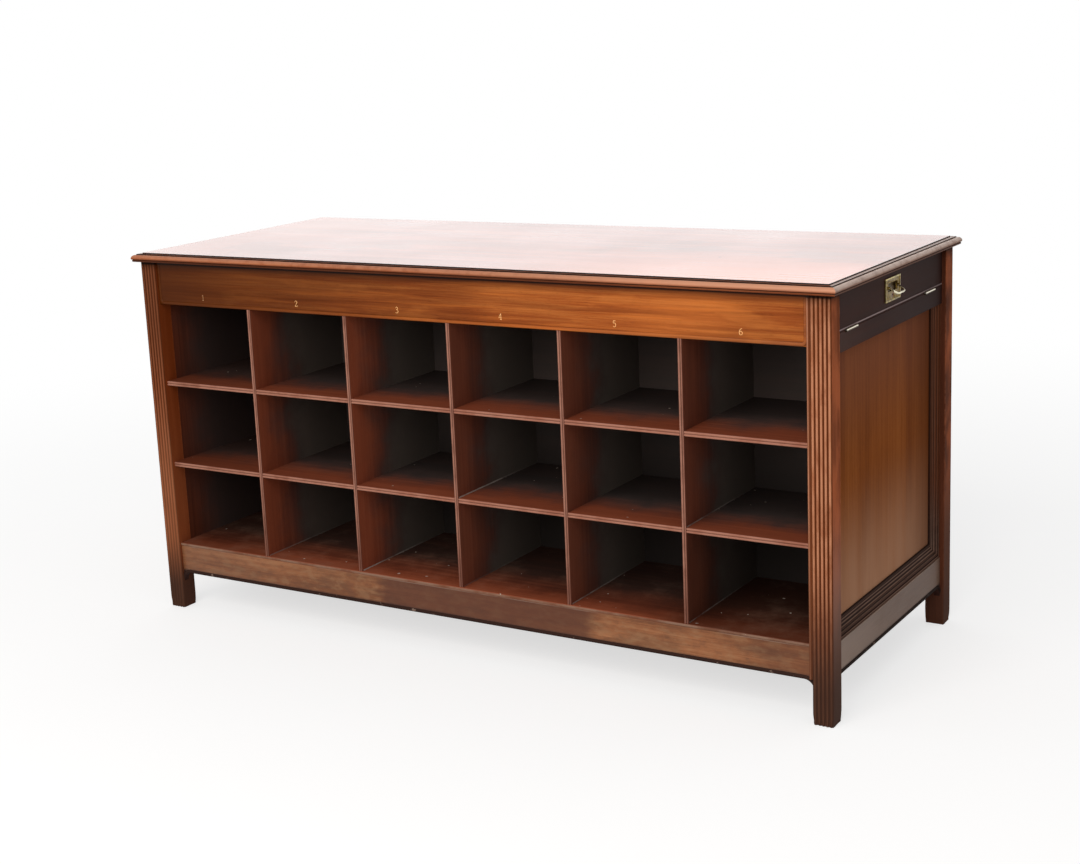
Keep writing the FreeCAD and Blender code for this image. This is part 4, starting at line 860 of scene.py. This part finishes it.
def dress_case():
    """The outer boards."""
    for word, along, kind in (("front", "x", RAIL), ("back", "x", RAIL), ("left", "y", END_RAIL),
                              ("right", "y", END_RAIL)):
        node = f"bottom_rail_{word}"
        dress_board(node, along, kind, seed=1.7, worn=0.0, paint=partial(rail_paint, node=node))
    dress_board("top_board", "x", TOP, worn=0.0, dirt=0.2, paint=top_paint)
    for word in ("front", "back"):
        dress_board(f"frieze_{word}", "x", CASE, worn=0.1, seed=3.1, paint=frieze_paint)
    dress_wood("cover_strips", "z", CASE, paint=strip_paint)
    dress_wood("frieze_beads", "x", CASE, paint=frieze_bead_paint)
    dress_wood("rail_beads", "x", MOULDING, paint=rail_bead_paint)
    dress_wood("corner_brackets", "x", DARK)
    for side in ("left", "right"):
        dress_board(f"upper_rail_{side}", "y", DARK, paint=upper_rail_paint)
        dress_wood(f"end_panel_{side}", "z", PANEL, seed=5.2, paint=panel_paint)
        node = f"panel_moulding_{side}"
        dress_wood(node, "y", MOULDING, paint=partial(moulding_paint, node=node))
    dress_board("apron_left", "y", DARK)
    dress_board("flap", "y", DARK, worn=0.25, seed=2.3, paint=flap_paint)


def dress_cells():
    """The pigeonholes, and the boards that do not show."""
    for word, outward in (("front", -1), ("back", 1)):
        boards = [(f"divider_{word}_{number}", "z", partial(divider_paint, dust=DUST_LINES[number]))
                  for number in range(1, 6)]
        boards += [(f"shelves_{word}_{tier}", "x", shelf_paint) for tier in ("lower", "upper")]
        for count, (node, along, paint) in enumerate(boards):
            dress_wood(node, along, CELL, seed=count * 0.9, paint=partial(paint, node=node, outward=outward),
                       bare=partial(rim_bare, node=node, outward=outward))
    for node in ("lining_left", "lining_right"):
        dress_wood(node, "z", CELL, seed=4.4, paint=lining_paint)
    for node in ("floor_board", "floor_lippings", "compartment_floor"):
        dress_wood(node, "x", CELL, paint=partial(dusty_paint, level=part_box(node)[1][2]))
    dress_wood("centre_back", "x", CELL, paint=back_shade_paint)
    for node, along in (("floor_bearers", "y"), ("glue_blocks", "x"), ("flap_stops", "x")):
        dress_wood(node, along, PINE)


# ---------------------------------------------------------------- metal

# The level of the keyhole, and the places along X between which the plate's cup begins.
KEYHOLE_LEVEL = 0.8330
CUP = (0.8865, 0.8896)
TARNISH_DEEP = 0.2 * MM


def brass(name, tone=(160, 138, 80), age=0.5, rough=0.34, paint=None):
    """Old brass: rubbed bright on the high places, brown in the low ones."""
    finish = Finish(name)
    patch = finish.cloud(120, 5)
    speck = finish.cloud(700, 3)
    base = shade(*tone)
    finish.ramp(patch, [(0.3, times(base, 0.65)), (0.52, base), (0.75, times(base, 1.3))])
    finish.lay(patch.rise(0.55, 0.75) * age * 0.5, 92, 60, 34)
    pitted = speck.rise(0.6, 0.7) * age
    finish.lay(pitted * 0.6, 54, 38, 24)
    if paint:
        paint(finish)
    return finish.close({
        "Metallic": 1.0 - pitted * 0.4, "Roughness": (rough + (patch - 0.5) * 0.3).held(),
        "Normal": finish.bump(speck * 0.3 + patch, TARNISH_DEEP, 0.3)})


def plate_paint(finish):
    """The rim is rubbed bright, with a painted highlight along its top, the cup is brown and the keyhole has a
    reddish ring of old polish.
    """
    low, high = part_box("pull_plate")
    rim = finish.y.inside(low[1], high[1]).least(finish.z.inside(low[2], high[2])).fall(0.0026, 0.0042)
    top_rim = (high[2] - finish.z).fall(0.0016, 0.003)
    # Rubbed rim, with a painted highlight along the top.
    finish.lay(rim * (0.25 + top_rim * 0.5), 226, 210, 150)
    finish.lay(finish.cloud(150).rise(0.42, 0.6) * 0.6, 62, 48, 26)
    finish.lay(finish.x.fall(*CUP) * 0.85, 58, 42, 26)
    across, up = finish.y, finish.z - KEYHOLE_LEVEL
    ring = (across * across + up * up).root().fall(0.0035, 0.0085)
    finish.lay(ring * 0.75, 112, 62, 40)


def knuckle_paint(finish):
    """The knuckles carry a painted highlight along a line and are brown on both sides of it."""
    low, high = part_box("hinge_pins")
    up = finish.z - (low[2] + high[2]) / 2
    finish.lay(0.8, 70, 54, 40)
    # Painted highlight along the knuckle.
    finish.lay(up.line(0.0009, 0.0005, 0.0006), 248, 240, 222)


def softened(node, body, material, width, steps=2):
    """Puts a copy of a node with its edges eased in the node's place."""
    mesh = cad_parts[node].data.copy()
    work = bmesh.new()
    work.from_mesh(mesh)
    bmesh.ops.remove_doubles(work, verts=work.verts, dist=SAME_PLACE)
    bmesh.ops.dissolve_limit(work, angle_limit=math.radians(FLAT_TURN), verts=work.verts, edges=work.edges)
    work.to_mesh(mesh)
    work.free()
    made = linked(node + "_eased", mesh)
    bevel = made.modifiers.new("eased", "BEVEL")
    bevel.width = width
    bevel.segments = steps
    bevel.limit_method = "ANGLE"
    bevel.angle_limit = math.radians(EASED_TURN)
    piece = add_piece(node + "_eased", settled(made), material, body)
    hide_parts(node)


def dress_metal():
    """The brass and the steel, but for the screws."""
    for node in ("lock_case", "strike_plate"):
        dress(node, brass(node))
    for node in ("hinge_leaves_fixed", "hinge_leaves_moving"):
        dress(node, brass(node, paint=knuckle_paint))
    plate = brass("pull_plate", (134, 110, 52), 0.9, 0.4, plate_paint)
    softened("pull_plate", "flap", plate, 0.25 * MM)
    softened("bail", "bail", brass("bail", (232, 224, 196), 0.2, 0.22), 1.1 * MM, 3)
    steel = brass("steel", (128, 126, 122), 0.4, 0.4)
    for node in ("hinge_pins", "lock_bolt"):
        dress(node, steel)


# ---------------------------------------------------------------- screws

SCREW_RADIUS = 1.9 * MM
SCREW_LONG = 9.6 * MM
SCREW_CROWN = 0.15 * MM
SLOT_WIDE = 0.5 * MM
SLOT_DEEP = 0.5 * MM
SLOT_REACH = 0.97
SCREW_TURNS = 24
SCREW_RINGS = 5


def screw_recipe():
    """A slotted screw on each point, along the point's facing, each turned its own way."""
    recipe = Recipe("slotted screws", radius=SCREW_RADIUS, long=SCREW_LONG, slot=SLOT_WIDE, deep=SLOT_DEEP, seed=3)
    radius, long, slot, deep, seed = recipe.sizes.values()
    rod = recipe.node("GeometryNodeMeshCylinder", {"Vertices": SCREW_TURNS, "Side Segments": 1, "Radius": radius,
                                                   "Fill Segments": SCREW_RINGS, "Depth": long},
                      fill_type="TRIANGLE_FAN")
    place = recipe.node("GeometryNodeInputPosition")
    x = recipe.node("ShaderNodeSeparateXYZ", {0: place}, "X")
    y, z = x.twin("Y"), x.twin("Z")
    on_head = 1 - z.under(0.0)
    inside = (x * x + y * y).root().under(radius * SLOT_REACH)
    cut = abs(x).under(slot) * inside * on_head
    crowned = (1 - (x * x + y * y) / (radius * radius)) * SCREW_CROWN * on_head
    shift = recipe.node("ShaderNodeCombineXYZ", {"Z": crowned - cut * deep - long / 2})
    head = recipe.node("GeometryNodeSetPosition", {"Geometry": rod, "Offset": shift})
    facing = recipe.node("GeometryNodeInputNamedAttribute", {"Name": "facing"}, data_type="FLOAT_VECTOR")
    stand = recipe.node("FunctionNodeAlignRotationToVector", {"Vector": facing}, axis="Z")
    spin = recipe.node("FunctionNodeRandomValue", {2: 0.0, 3: math.pi, "Seed": seed}, 1, data_type="FLOAT")
    axis = recipe.node("ShaderNodeCombineXYZ", {"Z": spin})
    turn = recipe.node("FunctionNodeRotateRotation", {0: stand, 1: axis}, rotation_space="LOCAL")
    spots = recipe.node("GeometryNodeMeshToPoints", {0: recipe.start})
    inputs = {"Points": spots, "Instance": head, "Rotation": turn}
    recipe.close(recipe.node("GeometryNodeInstanceOnPoints", inputs))
    return recipe


def solids_of(node):
    """The corners of each separate solid in a node."""
    work = bmesh.new()
    work.from_mesh(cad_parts[node].data)
    bmesh.ops.remove_doubles(work, verts=work.verts, dist=SAME_PLACE)
    left = set(work.verts)
    boxes = []
    while left:
        front = [left.pop()]
        whole = list(front)
        while front:
            for edge in front.pop().link_edges:
                for corner in edge.verts:
                    if corner in left:
                        left.discard(corner)
                        front.append(corner)
                        whole.append(corner)
        boxes.append(tuple(Vector(pick(corner.co[axis] for corner in whole) for axis in range(3))
                           for pick in (min, max)))
    work.free()
    return boxes


def screws():
    """The screws of the hinges and of the pull plate, in the places of their solids."""
    recipe = screw_recipe()
    for node, body, along_z in (("rail_screws", "case", 1), ("flap_screws", "flap", -1)):
        seeds, facings = [], []
        for low, high in solids_of(node):
            middle = (low + high) / 2
            if high.x - low.x > high.z - low.z:
                seeds.append((high.x, middle.y, middle.z))
                facings.append((1, 0, 0))
            else:
                seeds.append((middle.x, middle.y, high.z if along_z > 0 else low.z))
                facings.append((0, 0, along_z))
        made = recipe.grow(node + "_slotted", brass(node, age=0.8), body, "old_brass", seeds, facings)
        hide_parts(node)


# ---------------------------------------------------------------- reeded posts

REEDS = 5
POST_SIDE = 44.5 * MM
POST_HIGH = 889 * MM
REED_GROOVE = 3.4 * MM

# The columns of the mesh on the reeded face and on each plain one, and its rows, which crowd towards the foot.
FRONT_COLUMNS = 60
SIDE_COLUMNS = 4
POST_ROWS = 70
ROW_CROWDING = 1.5

# How deep the foot is worn and how high, the depth of dents above it, and how often they repeat per metre.
FOOT_WORN = 1.6 * MM
FOOT_HIGH = 35 * MM
DENT = 0.6 * MM
DENTS_PER_METRE = 70.0

# OFF_SEAM keeps a corner off the seam of the reeds' repeat, and corners nearer than WELD are joined.
OFF_SEAM = 0.001 * MM
WELD = 0.01 * MM

# Each post: the face its reeds are on and that face's direction, its end, and its wear.
POSTS = (("front", -1, "left", LEFT_POST), ("front", -1, "right", RIGHT_POST),
         ("back", 1, "left", LEFT_POST), ("back", 1, "right", SHADED_POST))


def walled(turn, flat):
    """One coordinate of a walk round a square, from -1 to 1. It stays at 1 for the flat's quarter."""
    off = abs((turn - flat + 2).repeated(4.0) - 2)
    return (2 - 2 * off).held(-1.0, 1.0)


def post_recipe():
    """A square post with one reeded face, whose foot is knocked and rounded."""
    recipe = Recipe("reeded post", side=POST_SIDE, high=POST_HIGH, reeds=float(REEDS), groove=REED_GROOVE,
                    rise=REED_RISE, wear=FOOT_WORN, facing=1.0, place=(0.0, 0.0, 0.0), seed=0.0)
    side, high, reeds, groove, rise, wear, facing, place, seed = recipe.sizes.values()
    columns = FRONT_COLUMNS + 3 * SIDE_COLUMNS
    sheet = recipe.node("GeometryNodeMeshGrid", {"Size X": columns, "Size Y": POST_ROWS, "Vertices X": columns + 1,
                                                 "Vertices Y": POST_ROWS + 1})
    here = recipe.node("GeometryNodeInputPosition")
    x = recipe.node("ShaderNodeSeparateXYZ", {0: here}, "X")
    column = x + columns / 2
    row = x.twin("Y") + POST_ROWS / 2
    turn = (column / FRONT_COLUMNS).least(1.0) + (column - FRONT_COLUMNS).most(0.0) / SIDE_COLUMNS
    half = side / 2
    across = walled(turn, 1.5) * half
    pitch = side / reeds
    reed = (pitch - groove) / 2
    radius = (reed * reed + rise * rise) / (rise * 2)
    local = (across + half - OFF_SEAM).repeated(pitch) - pitch / 2
    crown = ((radius * radius - local * local).most(0.0).root() - (radius - rise)).most(0.0) * turn.under(1.0)
    deep = (walled(turn, 2.5) + 1) / 2 * (side - rise) + rise - half - crown
    up = high * ((row - 1) / (POST_ROWS - 2)).held().power(ROW_CROWDING)
    spot = recipe.node("ShaderNodeCombineXYZ", {"X": across + seed, "Y": deep, "Z": up})
    dents = recipe.node("ShaderNodeTexNoise", {"Vector": spot, "Scale": DENTS_PER_METRE, "Detail": 2.0})
    low = up.fall(0.0, FOOT_HIGH)
    knock = 1 - (wear * low * low * (dents * 1.6) + (dents - 0.5).most(0.0) * DENT) / half
    closed_ends = row.least(POST_ROWS - row).least(1.0)
    size = knock * closed_ends * facing
    made = recipe.node("ShaderNodeCombineXYZ", {"X": across * size, "Y": deep * size, "Z": up})
    moved = recipe.node("ShaderNodeVectorMath", {0: made, 1: place}, operation="ADD")
    shaft = recipe.node("GeometryNodeSetPosition", {"Geometry": sheet, "Position": moved})
    recipe.close(recipe.node("GeometryNodeMergeByDistance", {"Geometry": shaft, "Distance": WELD}))
    return recipe


def posts():
    """The four reeded posts."""
    recipe = post_recipe()
    for count, (word, outward, end, wear) in enumerate(POSTS):
        node = f"post_{word}_{end}"
        low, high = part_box(node)
        paint = partial(reed_paint, node=node, outward=outward, wear=wear)
        material = wood(node, "z", wear.kind, count * 1.9, (low, high), paint=paint)
        made = recipe.grow(node + "_reeded", material, "case", "case_mahogany", high=high[2] - low[2],
                           facing=float(-outward), seed=count * 3.7,
                           place=((low[0] + high[0]) / 2, (low[1] + high[1]) / 2, low[2]))
        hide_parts(node)


# ---------------------------------------------------------------- moulded edge of the top

STRIP_WIDE = 21.5 * MM
ARC_STEPS = 8

# Section of the moulded edge, in millimetres outwards and up, with the rise of the arc to the next corner: the
# bead, the nosing over it, the quirk behind the nosing, the flat, and the quirk beside the board.
EDGE_SECTION = [
    (0.0, 0.0, 0.0), (17.5, 0.0, 2.0), (17.5, 5.4, 0.0), (18.5, 5.4, 0.8), (21.5, 8.2, 2.95), (11.7, 16.6, 0.0),
    (11.2, 16.3, 0.0), (11.2, 18.5, 0.0), (1.3, 18.7, 0.0), (1.2, 17.4, 0.0), (0.0, 17.4, 0.0),
]

# Small knocks along the nosing: their spacing, their greatest depth, the level and the reach of the worst of them,
# the share of the strip's width beyond which they lie, and how rare they are.
KNOCK_PITCH = 12 * MM
KNOCK_DEEP = 2.2 * MM
KNOCK_LEVEL = 11 * MM
KNOCK_REACH = 7 * MM
KNOCK_BEYOND = 0.6
KNOCK_RARE = 0.25
KNOCKS_ALONG = 40
KNOCKS_ACROSS = 60

# Each side: its axis, its direction, the axis of its grain, and its wear.
EDGES = (("front", 1, -1, "x", LONG_WEAR_AND_LIGHT), ("back", 1, 1, "x", LONG_WEAR_AND_LIGHT),
         ("left", 0, -1, "y", END_WEAR_AND_LIGHT), ("right", 0, 1, "y", END_WEAR_AND_LIGHT))


def rounded(section):
    """The points of a section with its arcs stepped out."""
    points = []
    for index, (x, y, rise) in enumerate(section):
        start = Vector((x, y))
        stop = Vector(section[(index + 1) % len(section)][:2])
        points.append(start)
        if rise:
            chord = stop - start
            aside = Vector((chord.y, -chord.x)).normalized()
            radius = (chord.length ** 2 / 4 + rise ** 2) / (2 * rise)
            middle = (start + stop) / 2 - aside * (radius - rise)
            reach = start - middle
            sweep = 2 * math.asin(min(1.0, chord.length / 2 / radius))
            for step in range(1, ARC_STEPS):
                points.append(middle + Matrix.Rotation(sweep * step / ARC_STEPS, 2) @ reach)
    return points


def knock_at(along, out, up, shifts):
    """How deep a point of the nosing is knocked in. The shifts keep the sides of the top unlike."""
    nosing = max(0.0, 1 - abs(up - KNOCK_LEVEL) / KNOCK_REACH) * max(0.0, out / STRIP_WIDE - KNOCK_BEYOND)
    spot = Vector((along * KNOCKS_ALONG, out * KNOCKS_ACROSS + shifts[0], up * KNOCKS_ACROSS + shifts[1]))
    return max(0.0, noise.noise(spot) - KNOCK_RARE) * nosing * KNOCK_DEEP


def strip_mesh(node, axis, outward):
    """One mitred strip along a side of the top."""
    section = [point * MM for point in rounded(EDGE_SECTION)]
    low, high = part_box(node)
    inner_half = (high[1 - axis] - low[1 - axis]) / 2 - STRIP_WIDE
    foot = high[axis] - STRIP_WIDE if outward > 0 else low[axis] + STRIP_WIDE
    rows = round(2 * inner_half / KNOCK_PITCH)
    corners = []
    for row in range(rows + 1):
        share = 2 * row / rows - 1
        for out, up in section:
            knock = knock_at(share * inner_half, out, up, (axis * 7, outward * 5))
            place = [0, 0, low[2] + up]
            place[1 - axis] = share * (inner_half + out)
            place[axis] = foot + outward * (out - knock)
            corners.append(place)
    count = len(section)
    faces = [tuple(row * count + (step + shift) % count + next_row * count
                   for shift, next_row in ((0, 0), (1, 0), (1, 1), (0, 1)))
             for row in range(rows) for step in range(count)]
    faces += [tuple(range(count)), tuple(rows * count + step for step in reversed(range(count)))]
    mesh = bpy.data.meshes.new(node)
    mesh.from_pydata(corners, [], faces)
    work = bmesh.new()
    work.from_mesh(mesh)
    bmesh.ops.recalc_face_normals(work, faces=work.faces)
    work.to_mesh(mesh)
    work.free()
    return smooth(mesh)


def moulded_edge():
    """The four mitred strips round the top."""
    for word, axis, outward, along, wear in EDGES:
        node = f"top_moulding_{word}"
        place = {"node": node, "axis": axis, "outward": outward}
        material = wood(node, along, wear.kind, paint=partial(nosing_paint, wear=wear, **place),
                        bare=partial(nosing_bare, wear=wear, **place))
        made = add_piece(node + "_moulded", strip_mesh(**place), material, "case")
        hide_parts(node)


# ---------------------------------------------------------------- gilt numbers

NUMBER_PLACES = (-0.714, -0.427, -0.138, 0.137, 0.418, 0.705)
NUMBER_HIGH = 13.5 * MM
NUMBER_LEVEL = 0.8052
GILT_LIFT = 0.06 * MM
STROKE_LIFT = 0.01 * MM

# The middle of the field, the finest pen stroke, and the steps between two places of a curved one.
NUMBER_MIDDLE = Vector((0.3, 0.5))
FINEST = 0.085
CURVE_STEPS = 6

# Pen strokes of the numbers on a field of height 1: places across and up, with the pen's width there.
STROKES = {
    1: [[(0.3, 0.0, 0.12), (0.3, 1.0, 0.12)], [(0.3, 1.0, 0.05), (0.12, 0.84, 0.05)],
        [(0.12, 0.02, 0.05), (0.48, 0.02, 0.05)]],
    2: [[(0.08, 0.74, 0.1), (0.14, 0.93, 0.07), (0.32, 1.0, 0.05), (0.5, 0.88, 0.12), (0.5, 0.68, 0.13),
         (0.32, 0.38, 0.08), (0.08, 0.06, 0.05)], [(0.06, 0.05, 0.1), (0.56, 0.05, 0.1)],
        [(0.56, 0.03, 0.05), (0.6, 0.2, 0.04)]],
    3: [[(0.1, 0.82, 0.1), (0.2, 0.97, 0.06), (0.38, 0.98, 0.07), (0.5, 0.82, 0.13), (0.44, 0.63, 0.09),
         (0.24, 0.55, 0.04)], [(0.24, 0.55, 0.04), (0.47, 0.47, 0.1), (0.56, 0.27, 0.14), (0.44, 0.06, 0.09),
         (0.24, 0.01, 0.06), (0.08, 0.15, 0.1)]],
    4: [[(0.44, 1.0, 0.04), (0.04, 0.3, 0.05)], [(0.03, 0.3, 0.06), (0.62, 0.3, 0.06)],
        [(0.44, 1.0, 0.12), (0.44, 0.0, 0.12)], [(0.28, 0.02, 0.05), (0.6, 0.02, 0.05)]],
    5: [[(0.16, 0.94, 0.11), (0.54, 0.96, 0.09)], [(0.16, 0.96, 0.05), (0.13, 0.56, 0.05)],
        [(0.13, 0.56, 0.04), (0.32, 0.63, 0.07), (0.5, 0.52, 0.12), (0.56, 0.3, 0.14), (0.46, 0.07, 0.09),
         (0.26, 0.0, 0.06), (0.08, 0.13, 0.1)]],
    6: [[(0.54, 0.97, 0.05), (0.3, 0.88, 0.08), (0.12, 0.6, 0.12), (0.08, 0.3, 0.14), (0.18, 0.05, 0.1),
         (0.36, 0.0, 0.06), (0.54, 0.14, 0.12), (0.56, 0.34, 0.13), (0.44, 0.54, 0.08), (0.26, 0.55, 0.05),
         (0.12, 0.42, 0.04)]],
}


def pen_line(stroke):
    """Points along a stroke, curved through its places, each with the pen's width."""
    places = [Vector(place) for place in stroke]
    if len(places) == 2:
        return places
    ends = [2 * places[0] - places[1]] + places + [2 * places[-1] - places[-2]]
    line = []
    for before, start, stop, after in zip(ends, ends[1:], ends[2:], ends[3:]):
        for step in range(CURVE_STEPS):
            t = step / CURVE_STEPS
            line.append(0.5 * (2 * start + (stop - before) * t
                               + (2 * before - 5 * start + 4 * stop - after) * t * t
                               + (3 * start - before - 3 * stop + after) * t ** 3))
    return line + [places[-1]]


def number_mesh(count, x, face):
    """One number as flat gilt on a front face."""
    corners, faces = [], []
    for lift, stroke in enumerate(STROKES[count]):
        line = pen_line(stroke)
        first = len(corners)
        for index, point in enumerate(line):
            along = (line[min(index + 1, len(line) - 1)] - line[max(index - 1, 0)]).xy.normalized()
            across = Vector((-along.y, along.x)) * max(point.z, FINEST) / 2
            for side in (across, -across):
                spot = (point.xy + side - NUMBER_MIDDLE) * NUMBER_HIGH
                corners.append((x + spot.x, face - GILT_LIFT - lift * STROKE_LIFT, NUMBER_LEVEL + spot.y))
        faces += [(step, step + 1, step + 3, step + 2) for step in range(first, len(corners) - 2, 2)]
    mesh = bpy.data.meshes.new(f"number_{count}")
    mesh.from_pydata(corners, [], faces)
    return mesh


def numbers():
    """Small gilt numbers over the columns of pigeonholes, dull in places."""
    finish = Finish("gilt")
    stops = [(0.3, shade(214, 128, 62)), (0.5, shade(255, 190, 116)), (0.7, shade(255, 208, 140))]
    finish.ramp(finish.cloud(300), stops)
    finish.lay(finish.x.fall(-0.75, -0.3) * 0.75, 120, 68, 26)
    gilt = finish.close({"Metallic": 0.1, "Roughness": 0.45})
    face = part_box("frieze_front")[0][1]
    for count, x in enumerate(NUMBER_PLACES, start=1):
        add_piece(f"number_{count}", number_mesh(count, x, face), gilt, "case")


# ---------------------------------------------------------------- stage

FLOOR_HALF = 15
FLOOR_DROP = 0.5 * MM
PAPER_TONE = 0.86
FAINT_TONE = 0.5
FLOOR_GLOW = 0.65
SKY_FILL = 0.4

# How far from the object the floor that the camera sees goes over into plain white.
FLOOR_FADE = (1.2, 4.0)


def grey(level):
    return (level, level, level, 1)


def stage():
    """A pale floor, a white surround and two soft lights."""
    finish = Finish("stage_floor")
    seen = finish.rays()
    away = finish.node("ShaderNodeVectorMath", {0: finish.place}, "Value", operation="LENGTH").rise(*FLOOR_FADE)
    paper = finish.node("ShaderNodeBsdfDiffuse", {"Color": grey(PAPER_TONE)})
    faint = finish.node("ShaderNodeBsdfDiffuse", {"Color": grey(FAINT_TONE)})
    glow, white = (finish.node("ShaderNodeEmission", {"Color": grey(1), "Strength": strength})
                   for strength in (FLOOR_GLOW, 1.0))
    near = finish.node("ShaderNodeAddShader", {0: faint, 1: glow})
    shown = finish.node("ShaderNodeMixShader", {0: away, 1: near, 2: white})
    finish.end("ShaderNodeOutputMaterial", finish.node("ShaderNodeMixShader", {0: seen, 1: paper, 2: shown}))
    mesh = bpy.data.meshes.new("floor")
    corners = [(x * FLOOR_HALF, y * FLOOR_HALF, 0) for x, y in ((-1, -1), (1, -1), (1, 1), (-1, 1))]
    mesh.from_pydata(corners, [], [(0, 1, 2, 3)])
    mesh.materials.append(finish.material)
    floor = linked("floor", mesh)
    floor.location.z = -FLOOR_DROP

    world = bpy.data.worlds.new("studio")
    world.use_nodes = True
    sky = Loom(world.node_tree)
    strength = sky.node("ShaderNodeMapRange", {"Value": sky.rays(), "To Min": SKY_FILL, "To Max": 1.0})
    sky.end("ShaderNodeOutputWorld", sky.node("ShaderNodeBackground", {"Color": grey(1), "Strength": strength}))
    bpy.context.scene.world = world
    for light in LIGHTS:
        softbox(*light)


# ---------------------------------------------------------------- the whole

def main():
    bpy.context.scene.view_settings.view_transform = "Standard"
    camera()
    stage()
    dress_case()
    dress_cells()
    dress_metal()
    posts()
    moulded_edge()
    screws()
    numbers()


main()
